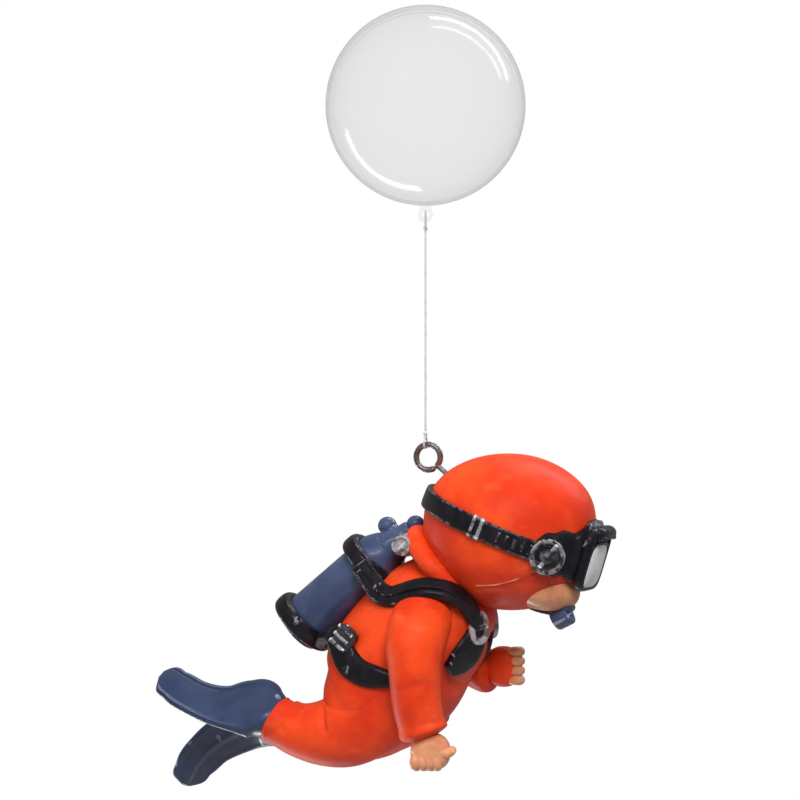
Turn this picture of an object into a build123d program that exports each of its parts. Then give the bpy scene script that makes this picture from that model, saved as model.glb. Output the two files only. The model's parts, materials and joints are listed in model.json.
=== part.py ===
from build123d import *
import math
import os

# A diver ornament that hangs under a clear float ball.
# Origin: centre of the float ball, on its water line. +Z is up and the diver faces +X.
# The diver's left and right halves meet on the XZ plane, and its right side is at -Y.

# ---------------------------------------------------------------- driving sizes, mm and degrees
# Float ball: two clear cups with a stepped rim, and an eyelet tab on the front cup.
FLOAT_D = 30.0
FLOAT_WALL = 1.0
FLOAT_LIP = 0.8
FLOAT_TURN = 20.0
EYELET_D = 2.2
EYELET_HOLE = 1.1
EYELET_T = 0.8
EYELET_DROP = 1.4

# Nylon line, tied with a loop and a knot at each end.
LINE_D = 0.3
LINE_LENGTH = 30.8
KNOT_D = 0.7
KNOT_DROP = 2.1
LOOP_DROP = 1.6
LOOP_GAP = 0.05

# Screw eye: a wire ring whose shank points at the middle of the head.
RING_D = 4.7
RING_WIRE = 0.9
RING_SHIFT = 0.45
RING_SLIT = 0.12
SHANK_D = 0.8
SHANK_OUT = 2.7
SHANK_IN = 6.0
SHANK_ANGLE = 40.8

# Head: an egg with the face set into its lower front.
HEAD_L = 25.4
HEAD_W = 21.4
HEAD_H = 23.2
FACE_L = 0.425 * HEAD_L
FACE_W = 12.0
FACE_H = 7.4

# Torso, with the tank seated in its back.
TORSO_D = 20.0
TORSO_W = 19.0
COLLAR_D = 18.4
COLLAR_T = 3.4
TANK_D = 8.2
TANK_LENGTH = 20.0
TANK_SEAT = 1.0
TANK_PITCH = 39.6
BAND_W = 2.1
BAND_T = 1.05

# Limbs.
LEG_D = 10.6
LEG_GAP = 0.6
SLEEVE_D = 7.4
HAND_D = 5.2
FIN_LENGTH = 18.8
FIN_W = 10.4
FIN_T = 1.5
FIN_ROLL = 35.0

# Mask and harness.
STRAP_W = 2.7
STRAP_T = 0.7
STRAP_PITCH = 22.0
MASK_PITCH = 17.0
MASK_W = 9.4
MASK_H = 10.6
LENS_W = 7.0
LENS_H = 5.8
LENS_T = 0.8
LENS_DROP = 1.05
FRAME_T = 1.1
LIP_D = 2.2
CLIP_D = 5.4
CLIP_T = 1.5
HARNESS_SCALE = 1.0
LEFT_SPREAD = 0.25
BUCKLE_L = 4.6
BUCKLE_W = 3.8
BUCKLE_T = 1.7
HOSE_D = 1.2


# ---------------------------------------------------------------- helpers
def save(part, name):
    os.makedirs("parts", exist_ok=True)
    export_step(part, f"parts/{name}.step")


def minus(body, *others):
    """Cuts each of the other solids from a body, so that they meet face to face."""
    for other in others:
        body = body - other
    return body


def largest(body):
    """Keeps the biggest solid of a cut, and drops the crumbs it leaves."""
    return max(body.solids(), key=lambda solid: solid.volume)


def egg(centre, size, pitch=0.0):
    """An ellipsoid with its three full sizes, nose down by the pitch, as a loft through ellipses."""
    sections = []
    for share in (-0.985, -0.9, -0.7, -0.4, 0.0, 0.4, 0.7, 0.9, 0.985):
        round_off = math.sqrt(1 - share ** 2) / 2
        plane = Plane(origin=(share * size[0] / 2, 0, 0), x_dir=(0, 1, 0), z_dir=(1, 0, 0))
        sections.append(plane * Ellipse(round_off * size[1], round_off * size[2]))
    return Location(centre, (0, pitch, 0)) * loft(sections)


def limb(stations, grow=0.0, side=(0, 1, 0)):
    """A loft through ellipses. A station is x, y, z, its depth and its width across the side axis."""
    points = [Vector(*station[:3]) for station in stations]
    sections = []
    for i, station in enumerate(stations):
        before = points[max(i - 1, 0)]
        after = points[min(i + 1, len(points) - 1)]
        along = (after - before).normalized()
        across = (Vector(*side) - along * along.dot(Vector(*side))).normalized()
        plane = Plane(origin=points[i], x_dir=across, z_dir=along)
        sections.append(plane * Ellipse(station[4] / 2 + grow, station[3] / 2 + grow))
    return loft(sections)


def mirrored(stations):
    """The same stations on the other side of the middle plane."""
    return [(x, -y, z, depth, width) for x, y, z, depth, width in stations]


def flip(body):
    """The left twin of a right-hand piece."""
    return mirror(body, about=Plane.XZ)


# ---------------------------------------------------------------- places worked out from the sizes
hole_z = -FLOAT_D / 2 - EYELET_DROP
upper_knot_z = hole_z - KNOT_DROP
lower_knot_z = upper_knot_z - LINE_LENGTH
wire_z = lower_knot_z - LOOP_DROP
ring_r = (RING_D - RING_WIRE) / 2
ring = Vector(RING_SHIFT, 0, wire_z - math.sqrt(ring_r ** 2 - RING_SHIFT ** 2))

# The shank of the screw eye sets where the head is, and the head sets where the rest is.
shank_axis = Vector(math.cos(math.radians(SHANK_ANGLE)), 0, -math.sin(math.radians(SHANK_ANGLE)))
head_reach = 1 / math.sqrt((shank_axis.X * 2 / HEAD_L) ** 2 + (shank_axis.Z * 2 / HEAD_H) ** 2)
head = ring + shank_axis * (ring_r + SHANK_OUT + head_reach)
neck = head + Vector(-0.17 * HEAD_L, 0, -0.36 * HEAD_H)

# Places on the head: the front of the mask, the round strap clips and the regulator cup.
mask_front = 0.5 * HEAD_L + 1.6
clip_x = 0.35 * HEAD_L
clip_y = HEAD_W / 2 * math.sqrt(1 - (2 * clip_x / HEAD_L) ** 2)
cup_place = head + Vector(0.35 * HEAD_L, 0, -0.545 * HEAD_H)

# Torso stations from neck to seat: x and z from the neck, then shares of its depth and width.
TORSO_SHAPE = [
    (0.2, 0.0, 0.30, 0.44),
    (-1.5, -1.0, 0.58, 0.72),
    (-4.2, -2.3, 0.81, 0.90),
    (-10.0, -7.2, 1.00, 1.00),
    (-14.6, -13.3, 1.06, 1.02),
    (-18.5, -17.4, 0.84, 1.00),
    (-21.5, -19.4, 0.58, 0.84),
    (-23.3, -20.7, 0.28, 0.50),
]
torso_stations = [(neck.X + x, 0, neck.Z + z, TORSO_D * deep, TORSO_W * wide)
                  for x, z, deep, wide in TORSO_SHAPE]

# The tank lies along the back and is sunk into it by its seat.
tank_axis = Vector(math.cos(math.radians(TANK_PITCH)), 0, math.sin(math.radians(TANK_PITCH)))
tank_up = Vector(-tank_axis.Z, 0, tank_axis.X)
tank_middle = (neck + Vector(-12.6, 0, -10.0) + tank_up * (TORSO_D / 2 + TANK_D / 2 - TANK_SEAT)
               - tank_axis * 1.2)
tank_plane = Plane(origin=tank_middle - tank_axis * (TANK_LENGTH / 2), x_dir=tank_up, z_dir=tank_axis)

# Limbs: x, z from the neck and y from the middle, then depth and width.
hip_y = (LEG_D * 0.84 + LEG_GAP) / 2
arm_y = TORSO_W / 2 + 1.4
right_leg_stations = [
    (neck.X - 17.4, -hip_y, neck.Z - 17.6, LEG_D * 1.04, LEG_D * 0.86),
    (neck.X - 22.3, -hip_y, neck.Z - 22.1, LEG_D * 0.94, LEG_D * 0.86),
    (neck.X - 27.3, -hip_y, neck.Z - 22.1, LEG_D * 0.84, LEG_D * 0.80),
    (neck.X - 31.7, -hip_y, neck.Z - 19.9, LEG_D * 0.68, LEG_D * 0.68),
]
left_leg_stations = mirrored(right_leg_stations[:2]) + [
    (neck.X - 27.7, hip_y, neck.Z - 22.0, LEG_D * 0.84, LEG_D * 0.80),
    (neck.X - 33.0, hip_y, neck.Z - 20.0, LEG_D * 0.66, LEG_D * 0.68),
]
right_sleeve_stations = [
    (neck.X - 5.7, -arm_y + 4.1, neck.Z - 3.3, SLEEVE_D, SLEEVE_D),
    (neck.X - 6.1, -arm_y + 1.3, neck.Z - 7.3, SLEEVE_D * 1.05, SLEEVE_D),
    (neck.X - 6.4, -arm_y, neck.Z - 11.8, SLEEVE_D * 1.02, SLEEVE_D * 0.98),
    (neck.X - 6.2, -arm_y - 0.2, neck.Z - 16.8, SLEEVE_D, SLEEVE_D * 0.97),
    (neck.X - 5.5, -arm_y, neck.Z - 20.3, SLEEVE_D * 0.95, SLEEVE_D * 0.93),
    (neck.X - 4.9, -arm_y + 0.1, neck.Z - 22.8, SLEEVE_D * 0.86, SLEEVE_D * 0.86),
]
left_sleeve_stations = [
    (neck.X - 4.9, arm_y - 4.1, neck.Z - 3.3, SLEEVE_D, SLEEVE_D),
    (neck.X - 6.2, arm_y - 1.3, neck.Z - 7.4, SLEEVE_D * 1.02, SLEEVE_D),
    (neck.X - 6.1, arm_y - 0.2, neck.Z - 11.0, SLEEVE_D * 0.95, SLEEVE_D * 0.95),
    (neck.X - 4.1, arm_y - 0.3, neck.Z - 13.0, SLEEVE_D * 0.85, SLEEVE_D * 0.88),
    (neck.X - 1.9, arm_y - 0.8, neck.Z - 13.3, SLEEVE_D * 0.76, SLEEVE_D * 0.80),
]

# Harness routes: x from the neck, share of half the torso's width, z from the neck, depth, width.
SHOULDER_ROUTE = [
    (-13.2, 0.68, -0.6, 2.0, 2.0), (-11.8, 0.80, -1.4, 2.0, 2.0), (-9.8, 0.87, -1.1, 2.0, 2.0),
    (-7.5, 0.89, -0.6, 2.0, 2.0), (-5.0, 0.88, -0.4, 2.0, 2.0), (-2.6, 0.86, -0.5, 2.0, 2.0),
    (-0.6, 0.80, -1.2, 2.0, 2.0), (0.5, 0.60, -3.0, 1.9, 2.2), (0.9, 0.40, -5.0, 1.7, 2.4),
    (0.8, 0.34, -7.0, 1.7, 2.6), (0.2, 0.32, -8.8, 1.7, 2.9), (-0.7, 0.32, -10.4, 1.7, 2.6),
    (-2.0, 0.38, -11.9, 1.7, 1.8), (-3.4, 0.50, -12.8, 1.4, 1.2),
]
WAIST_ROUTE = [
    (-21.4, 0.62, -8.4, 2.6, 2.0), (-19.8, 0.76, -9.6, 3.6, 2.0), (-17.6, 0.88, -10.8, 4.2, 1.9),
    (-15.2, 0.96, -11.8, 3.4, 1.8), (-12.8, 0.97, -12.8, 2.3, 1.8), (-10.4, 0.95, -13.3, 1.8, 1.6),
]


def strap_stations(route, side):
    """The left shoulder strap comes down a little further from the middle than the right one."""
    stations = []
    for x, share, z, deep, wide in route:
        spread = LEFT_SPREAD if side > 0 and share < 0.61 and x > -5 else 0
        y = side * (share + spread) * TORSO_W / 2
        stations.append((neck.X + x - spread * 4, y, neck.Z + z, deep * HARNESS_SCALE, wide))
    return stations


# ---------------------------------------------------------------- float and line
def float_cup(front):
    """Half of a hollow ball. The front cup has the lip that fits inside the back one."""
    outer = FLOAT_D / 2
    inner = outer - FLOAT_WALL
    shell = Sphere(outer) - Sphere(inner)
    half = Pos(0, -outer if front else outer, 0) * Box(2 * outer, 2 * outer, 2 * outer)
    lip_r = inner + FLOAT_WALL / 2
    lip = Rot(90, 0, 0) * Pos(0, 0, -FLOAT_LIP / 2) * Cylinder(lip_r, FLOAT_LIP)
    cup = shell & half
    return cup + (shell & lip) if front else cup - lip


def eyelet():
    """A flat tab with a hole, on the rim of the front cup."""
    tab = Pos(0, 0, hole_z) * Rot(90, 0, 0) * Cylinder(EYELET_D / 2, EYELET_T)
    root = Pos(0, 0, hole_z + EYELET_DROP / 2) * Box(EYELET_D * 0.8, EYELET_T, EYELET_DROP + 0.4)
    hole = Pos(0, 0, hole_z) * Rot(90, 0, 0) * Cylinder(EYELET_HOLE / 2, 2 * EYELET_T)
    return tab + root - hole - Sphere(FLOAT_D / 2 - FLOAT_WALL / 2)


def tied_loop(knot_z, far_z, half, radius):
    """One turn of line in the YZ plane, from the knot around what it holds and back."""
    toward = 1 if far_z > knot_z else -1
    start = 0.17
    shoulder_z = far_z - toward * (half + 0.55)
    points = [(0, start, knot_z + toward * 0.25), (0, half, shoulder_z), (0, half, far_z),
              (0, -half, far_z), (0, -half, shoulder_z), (0, -start, knot_z + toward * 0.25)]
    path = FilletPolyline(*points, radius=[0.3, radius, radius, 0.3])
    section = Plane(origin=path @ 0, z_dir=path % 0) * Circle(LINE_D / 2)
    return sweep(section, path=path)


def knot(z):
    return Pos(0, 0, z) * Sphere(KNOT_D / 2)


def build_float_and_line():
    turn = Rot(0, 0, FLOAT_TURN)
    tab = eyelet()
    save(turn * (float_cup(True) + tab), "float_front_shell")
    save(turn * (float_cup(False) - tab), "float_back_shell")

    # The upper loop hangs in the eyelet, and the line turns about that hole.
    half = EYELET_T / 2 + LOOP_GAP + LINE_D / 2
    upper = turn * tied_loop(upper_knot_z, hole_z - 0.2, half, half * 0.7)
    room = Sphere(KNOT_D / 2 + 0.03)
    save(upper - Pos(0, 0, upper_knot_z) * room, "upper_loop")

    # The line runs from the middle of the upper knot to just above the lower one.
    top = upper_knot_z
    bottom = lower_knot_z + KNOT_D / 2 + 0.05
    line = Pos(0, 0, (top + bottom) / 2) * Cylinder(LINE_D / 2, top - bottom)
    save(line, "line")
    save(knot(upper_knot_z) - line, "upper_knot")
    save(knot(lower_knot_z), "lower_knot")

    # The lower loop carries the wire of the screw eye.
    half = RING_WIRE / 2 + LOOP_GAP + LINE_D / 2
    lower = tied_loop(lower_knot_z, wire_z - half, half, half * 0.92)
    save(lower - Pos(0, 0, lower_knot_z) * room, "lower_loop")


def screw_shank():
    """The rod of the screw eye, with a cone for its point."""
    length = SHANK_OUT + SHANK_IN
    rod = Pos(0, 0, length / 2) * Cylinder(SHANK_D / 2, length)
    tip = Pos(0, 0, length + SHANK_D / 2) * Cone(SHANK_D / 2, 0, SHANK_D)
    return Plane(origin=ring + shank_axis * ring_r, z_dir=shank_axis).location * (rod + tip)


def eye_screw():
    """A ring of wire, slit where the wire ends, on a pointed shank."""
    hoop = Location(ring, (90, 0, 0)) * Torus(ring_r, RING_WIRE / 2)
    slit = Location(ring, (0, SHANK_ANGLE - 30, 0)) * Pos(ring_r, 0, 0) * Box(2, 2, RING_SLIT)
    return hoop - slit + screw_shank()


# ---------------------------------------------------------------- head, face and mask
def egg_head(grow=0.0):
    return egg(head, (HEAD_L + 2 * grow, HEAD_W + 2 * grow, HEAD_H + 2 * grow))


def face_egg():
    """The bare part of the face: it bulges from the hood below the mask."""
    return egg(head + Vector(0.205 * HEAD_L, 0, -0.33 * HEAD_H), (FACE_L, FACE_W, FACE_H), 12)


def mask_plane(x, z=0.0):
    """A drawing plane across the mask, x in front of the middle of the head."""
    ahead = Vector(math.cos(math.radians(MASK_PITCH)), 0, -math.sin(math.radians(MASK_PITCH)))
    above = Vector(-ahead.Z, 0, ahead.X)
    return Plane(origin=head + ahead * x + above * z, x_dir=(0, 1, 0), z_dir=ahead)


def brow():
    """The rim of the hood that stands up behind the top of the mask."""
    return egg(head + Vector(0.475 * HEAD_L, 0, 0.10 * HEAD_H), (3.6, HEAD_W * 0.46, 3.6), MASK_PITCH)


def mask_skirt(cuts):
    """The soft box that seals the mask: wide on the hood and narrow at the frame."""
    back = mask_plane(0.28 * HEAD_L, 0.2) * RectangleRounded(HEAD_W * 0.86, MASK_H * 0.53, 2.6)
    waist = mask_plane(0.42 * HEAD_L, 0.4) * RectangleRounded(HEAD_W * 0.70, MASK_H * 0.78, 3.0)
    front = mask_plane(mask_front - FRAME_T, 0.8) * RectangleRounded(MASK_W, MASK_H, 2.2)
    return minus(loft([back, waist, front]), *cuts)


def mask_frame():
    """A ring around the lens, with a rolled lip above it."""
    rim = extrude(mask_plane(mask_front - FRAME_T, 0.8) * RectangleRounded(MASK_W, MASK_H, 2.2), FRAME_T)
    window = extrude(mask_plane(mask_front - FRAME_T, -LENS_DROP) * RectangleRounded(LENS_W, LENS_H, 1.3),
                     2 * FRAME_T)
    lip = Location(head, (0, MASK_PITCH, 0)) * Pos(mask_front, 0, MASK_H * 0.38) * Rot(90, 0, 0)
    bar = lip * Cylinder(LIP_D / 2, MASK_W * 0.62)
    ends = [lip * Pos(0, 0, s * MASK_W * 0.31) * Sphere(LIP_D / 2) for s in (-1, 1)]
    return rim + bar + ends[0] + ends[1] - window


def mask_lens():
    sketch = mask_plane(mask_front - FRAME_T, -LENS_DROP) * RectangleRounded(LENS_W, LENS_H, 1.3)
    return extrude(sketch, LENS_T)


def strap_frame():
    return Location(head, (0, STRAP_PITCH, 0))


def strap_clip(cuts):
    """The right-hand round buckle: a dished disc with a button in it."""
    turned = strap_frame() * Location((clip_x, -clip_y, 1.0), (0, 0, 30)) * Rot(90, 0, 0)
    disc = turned * Pos(0, 0, 0.2) * Cylinder(CLIP_D / 2, CLIP_T * 1.2)
    dish = turned * Pos(0, 0, 0.2 + CLIP_T * 0.6) * Cylinder(CLIP_D * 0.38, 0.5)
    button = turned * Pos(0, 0, 0.2) * Cylinder(CLIP_D * 0.22, CLIP_T * 1.4)
    return minus(disc - dish + button, *cuts)


def mask_strap(cuts):
    """A flat band around the back of the hood, from clip to clip."""
    reach = HEAD_L
    slab = strap_frame() * Pos(clip_x - reach, 0, 0.4) * Box(2 * reach, 2 * HEAD_W, STRAP_W)
    return largest(minus(egg_head(STRAP_T) & slab, *cuts))


def mask_slider(cuts):
    x = -0.29 * HEAD_L / 2
    y = (HEAD_W / 2 + STRAP_T) * math.sqrt(1 - (x / (HEAD_L / 2 + STRAP_T)) ** 2)
    block = strap_frame() * Location((x, -y, 0.4), (0, 0, -10)) * Box(1.6, 1.1, STRAP_W + 0.6)
    return minus(block, *cuts)


def mouthpiece(cuts):
    """Lips of the mouthpiece, on the front of the face."""
    place = head + Vector(0.37 * HEAD_L, 0, -0.445 * HEAD_H)
    return minus(egg(place, (2.6, 4.2, 2.6), 20), *cuts)


def regulator_cup(cuts):
    """The round second stage under the lips, its button toward the front."""
    body = Location(cup_place, (0, 60, 0)) * Cylinder(1.6, 2.6)
    body = fillet(body.edges().filter_by(GeomType.CIRCLE), 0.7)
    button = Location(cup_place, (0, 60, 0)) * Pos(0, 0, 1.2) * Cylinder(0.7, 0.6)
    return minus(body + button, *cuts)


def regulator_hose(cuts):
    """The hose leaves the cup to the left and runs under the hood to the far shoulder."""
    route = [cup_place + Vector(-0.6, 0.8, 0.2), cup_place + Vector(-2.9, 3.0, 0.1),
             cup_place + Vector(-6.2, 6.6, -0.1), cup_place + Vector(-10.6, 9.2, 1.3),
             cup_place + Vector(-15.6, 9.7, 4.4)]
    path = FilletPolyline(*route, radius=[5.0, 6.0, 6.0])
    section = Plane(origin=path @ 0, z_dir=path % 0) * Circle(HOSE_D / 2)
    return minus(sweep(section, path=path), *cuts)


# ---------------------------------------------------------------- torso, tank and limbs
def torso_body(grow=0.0):
    return limb(torso_stations, grow)


def collar(cuts):
    """A rolled collar between the neck and the shoulders."""
    place = Location(head + Vector(-0.325 * HEAD_L, 0, -0.25 * HEAD_H), (0, 44.5, 0))
    roll = place * Cylinder(COLLAR_D / 2, COLLAR_T)
    roll = fillet(roll.edges().filter_by(GeomType.CIRCLE), COLLAR_T * 0.45)
    return minus(roll, *cuts)


def tank():
    """A cylinder with a rounded bottom, a domed shoulder and a neck."""
    r = TANK_D / 2
    length = TANK_LENGTH
    barrel = Pos(0, 0, (length - 2.2) / 2) * Cylinder(r, length - 2.2)
    barrel = fillet(barrel.edges().filter_by(GeomType.CIRCLE).sort_by(Axis.Z)[0], 0.8)
    barrel = fillet(barrel.edges().filter_by(GeomType.CIRCLE).sort_by(Axis.Z)[-1], 2.0)
    throat = Pos(0, 0, length - 1.5) * Cylinder(r * 0.5, 3.0)
    return tank_plane.location * (barrel + throat)


def tank_band(at):
    """A rubber band around the tank."""
    r = TANK_D / 2
    ring_band = Cylinder(r + BAND_T, BAND_W)
    ring_band = fillet(ring_band.edges().filter_by(GeomType.CIRCLE), BAND_T * 0.4)
    ring_band = ring_band - Cylinder(r, 2 * BAND_W)
    return tank_plane.location * Pos(0, 0, at) * ring_band


def tank_valve(cuts):
    """A Y-shaped valve body screwed on the neck."""
    at = tank_plane.location * Pos(0, 0, TANK_LENGTH)
    body = at * Pos(0, 0, 1.1) * Cylinder(TANK_D * 0.28, 2.2)
    arms = at * Location((0, 0, 1.5), (0, 90, 0)) * Cylinder(TANK_D * 0.15, TANK_D * 0.7)
    front = at * Pos(1.3, 0, 3.2) * Cylinder(TANK_D * 0.13, 3.0)
    return minus(body + arms + front, *cuts)


def valve_caps():
    """Two domed caps on the arms of the valve."""
    at = tank_plane.location * Pos(0, 0, TANK_LENGTH)
    return (at * Pos(3.0, 0, 1.5) * Sphere(TANK_D * 0.16), at * Pos(0.4, 0, 5.4) * Sphere(TANK_D * 0.15))


def valve_knob(cuts):
    """The hand wheel of the valve, its round face toward the diver's right."""
    place = tank_plane.location * Pos(-2.0, 0, TANK_LENGTH + 3.4)
    axis = Location(place.position, (90, 0, 0))
    wheel = axis * Pos(0, 0, 3.9) * Cylinder(1.5, 4.6)
    wheel = wheel - axis * Pos(0, 0, 6.2) * Cylinder(1.15, 0.5)
    rim = axis * Pos(0, 0, 1.9) * Cylinder(1.75, 0.5)
    return minus(wheel + rim, *cuts)


def leg(stations, cuts):
    return minus(limb(stations), *cuts)


def sleeve(stations, cuts):
    return minus(limb(stations), *cuts)


def fin(cuff, angle, roll, bow):
    """A swim fin: a thick foot pocket that thins into a blade, bowed up or down by bow."""
    along = Vector(-math.cos(math.radians(angle)), 0, math.sin(math.radians(angle)))
    side = (0, -math.sin(math.radians(roll)), -math.cos(math.radians(roll)))
    shape = [(-0.03, 0.0, 4.6, 0.68), (0.10, 0.0, 3.6, 0.96), (0.24, 0.25, 1.8, 0.94),
             (0.40, 0.6, 1.1, 0.80), (0.62, 1.0, 1.0, 0.66), (0.82, 0.9, 1.0, 0.62),
             (0.95, 0.45, 0.9, 0.48), (1.0, 0.2, 0.6, 0.26)]
    stations = []
    for t, share, thick, wide in shape:
        point = cuff + along * (FIN_LENGTH * t) + Vector(0, 0, bow * share)
        stations.append((point.X, point.Y, point.Z, FIN_T * thick, FIN_W * wide))
    return limb(stations, side=side)


def hand(palm, palm_size, extras, cuts):
    """A fist: an egg for the palm, and smaller ones for the thumb and the fingers."""
    body = egg(palm, palm_size)
    for place, size in extras:
        body = body + egg(palm + Vector(*place), size)
    return minus(body, *cuts)


def harness_strap(route, side, cuts):
    """A strap that lies half sunk in what it crosses, and is cut by it."""
    return largest(minus(limb(strap_stations(route, side)), *cuts))


def chest_buckle(side, cuts):
    """An oval ring with a bar, flat on the front of the chest."""
    spread = LEFT_SPREAD if side > 0 else 0
    place = Vector(neck.X + 1.0 - spread * 10, side * (0.35 + spread) * TORSO_W / 2, neck.Z - 6.0)
    turned = Location(place, (0, 90, side * (22 + 80 * spread)))
    ring_plate = extrude(Ellipse(BUCKLE_L / 2, BUCKLE_W / 2), BUCKLE_T)
    ring_plate = ring_plate - extrude(Ellipse(BUCKLE_L / 2 - 0.8, BUCKLE_W / 2 - 0.8), BUCKLE_T)
    bar = Pos(0, 0, 0.7) * Box(0.7, BUCKLE_W - 0.8, 1.2)
    return largest(minus(turned * (ring_plate + bar), *cuts))


def waist_slider(side, cuts):
    """A three-bar slider, where the waist strap leaves the tank band."""
    place = Vector(neck.X - 18.9, side * 0.80 * TORSO_W / 2, neck.Z - 7.2)
    turned = Location(place, (0, 35, side * -18))
    block = turned * Box(3.4, 1.8, 3.8)
    slots = [turned * Pos(x, side * 0.9, 0) * Box(0.5, 0.7, 2.6) for x in (-0.7, 0.7)]
    return largest(minus(block, *slots, *cuts))


# ---------------------------------------------------------------- build
build_float_and_line()

screw = eye_screw()
save(screw, "eye_screw")

skull = egg_head()
face = face_egg()
hood = skull + brow() - face - screw_shank()
save(hood, "hood")
save(face, "face")

skirt = mask_skirt([skull, face, brow()])
frame = mask_frame() - brow()
lens = mask_lens()
clip = strap_clip([skull, skirt])
strap = mask_strap([skull, skirt, clip, flip(clip)])
slider = mask_slider([skull, strap])
save(skirt, "mask_skirt")
save(frame, "mask_frame")
save(lens, "mask_lens")
save(strap, "mask_strap")
save(clip, "right_strap_clip")
save(flip(clip), "left_strap_clip")
save(slider, "right_mask_slider")
save(flip(slider), "left_mask_slider")

lips = mouthpiece([face, skirt])
cup = regulator_cup([face, lips])
save(lips, "mouthpiece")
save(cup, "regulator_cup")

bottle = tank()
upper_band = tank_band(TANK_LENGTH - 4.1)
lower_band = tank_band(1.8)
torso = largest(minus(torso_body(), skull, face, bottle))
roll = largest(collar([skull, face, torso, bottle]))
save(bottle, "tank")
save(torso, "torso")
save(roll, "collar")
caps = valve_caps()
valve = tank_valve([bottle, skull, *caps])
knob = valve_knob([valve, bottle, skull, roll, torso])
save(valve, "tank_valve")
save(minus(caps[0], skull), "valve_cap")
save(minus(caps[1], skull, roll), "valve_outlet")
save(knob, "valve_knob")
upper_band = minus(upper_band, torso, roll)
lower_band = minus(lower_band, torso)
save(upper_band, "upper_tank_band")
save(lower_band, "lower_tank_band")

right_leg = largest(leg(right_leg_stations, [torso]))
left_leg = largest(leg(left_leg_stations, [torso]))
save(right_leg, "right_leg")
save(left_leg, "left_leg")
right_ankle = Vector(*right_leg_stations[-1][:3])
left_ankle = Vector(*left_leg_stations[-1][:3])
save(minus(fin(right_ankle, 18.5, FIN_ROLL, -1.2), right_leg), "right_fin")
save(minus(fin(left_ankle, -33.0, -FIN_ROLL, 3.4), left_leg), "left_fin")

right_sleeve = largest(sleeve(right_sleeve_stations, [torso, roll, skull]))
left_sleeve = largest(sleeve(left_sleeve_stations, [torso, roll, skull]))
save(right_sleeve, "right_sleeve")
save(left_sleeve, "left_sleeve")
right_wrist = Vector(*right_sleeve_stations[-1][:3])
left_wrist = Vector(*left_sleeve_stations[-1][:3])
right_hand = hand(right_wrist + Vector(0.4, 0, -1.6), (HAND_D * 1.08, HAND_D * 0.95, HAND_D * 1.08),
                  [((3.2, 0.5, 0.8), (3.6, 2.3, 2.6))], [right_sleeve])
left_hand = hand(left_wrist + Vector(2.3, -0.4, 0.9), (HAND_D * 1.05, HAND_D * 0.76, HAND_D * 1.18),
                 [((1.7, -0.4, 0.1), (3.0, 3.4, HAND_D * 1.05))], [left_sleeve])
save(right_hand, "right_hand")
save(left_hand, "left_hand")

body_solids = [torso, roll, skull, bottle, upper_band, lower_band, right_leg, left_leg]
for side, arm, label in ((-1, right_sleeve, "right"), (1, left_sleeve, "left")):
    waist = harness_strap(WAIST_ROUTE, side, body_solids + [arm])
    catch = waist_slider(side, body_solids + [arm, waist])
    over = harness_strap(SHOULDER_ROUTE, side, body_solids + [arm])
    buckle = chest_buckle(side, body_solids + [arm, over])
    save(waist, f"{label}_waist_strap")
    save(catch, f"{label}_waist_slider")
    save(over, f"{label}_shoulder_strap")
    save(buckle, f"{label}_chest_buckle")

# The loop ends on the left side, so over is the left shoulder strap here.
hose_cuts = [cup, lips, face, skull, torso, roll, left_sleeve, over, bottle, valve, upper_band]
save(largest(regulator_hose(hose_cuts)), "regulator_hose")
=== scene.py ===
import json
import math
import bmesh
import bpy
import numpy as np
from mathutils import Matrix, Vector


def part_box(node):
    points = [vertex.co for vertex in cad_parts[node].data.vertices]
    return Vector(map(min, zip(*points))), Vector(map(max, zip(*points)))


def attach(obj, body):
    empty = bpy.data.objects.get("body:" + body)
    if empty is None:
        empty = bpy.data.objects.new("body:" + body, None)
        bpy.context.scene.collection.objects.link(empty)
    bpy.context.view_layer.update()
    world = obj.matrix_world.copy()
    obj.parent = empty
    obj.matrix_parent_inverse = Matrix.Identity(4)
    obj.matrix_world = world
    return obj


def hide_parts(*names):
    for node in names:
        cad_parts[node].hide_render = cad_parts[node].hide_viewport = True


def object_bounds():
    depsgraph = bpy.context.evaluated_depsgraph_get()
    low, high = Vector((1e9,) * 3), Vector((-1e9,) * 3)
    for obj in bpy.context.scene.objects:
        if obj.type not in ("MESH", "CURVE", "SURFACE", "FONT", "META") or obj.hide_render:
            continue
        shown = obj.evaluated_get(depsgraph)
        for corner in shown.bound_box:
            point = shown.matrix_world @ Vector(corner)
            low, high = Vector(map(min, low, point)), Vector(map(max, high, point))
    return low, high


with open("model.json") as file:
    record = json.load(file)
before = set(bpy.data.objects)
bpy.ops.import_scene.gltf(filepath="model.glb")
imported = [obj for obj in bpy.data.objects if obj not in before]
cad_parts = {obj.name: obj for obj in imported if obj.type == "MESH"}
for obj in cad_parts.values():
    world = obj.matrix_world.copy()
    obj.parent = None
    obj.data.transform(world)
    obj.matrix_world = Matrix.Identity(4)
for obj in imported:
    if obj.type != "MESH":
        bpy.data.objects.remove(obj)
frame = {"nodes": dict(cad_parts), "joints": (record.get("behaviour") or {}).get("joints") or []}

cad_low, cad_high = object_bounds()

# ---------------------------------------------------------------- camera
# A long lens, level with the middle of the ornament and a little ahead of its right side.
turn = math.radians(20.0)
aim = Vector((-0.003594, -0.001308, -0.044175))
back = Vector((math.sin(turn), -math.cos(turn), 0.0))
camera = bpy.data.objects.new("camera", bpy.data.cameras.new("camera"))
bpy.context.scene.collection.objects.link(camera)
camera.data.sensor_width = 36.0
camera.data.lens = 135.0
camera.location = aim + back * 0.45
camera.rotation_mode = "QUATERNION"
camera.rotation_quaternion = (-back).to_track_quat("-Z", "Y")
camera.data.clip_start = 0.01
camera.data.clip_end = 20.0
bpy.context.scene.camera = camera
bpy.context.scene.view_settings.view_transform = "Standard"


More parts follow.
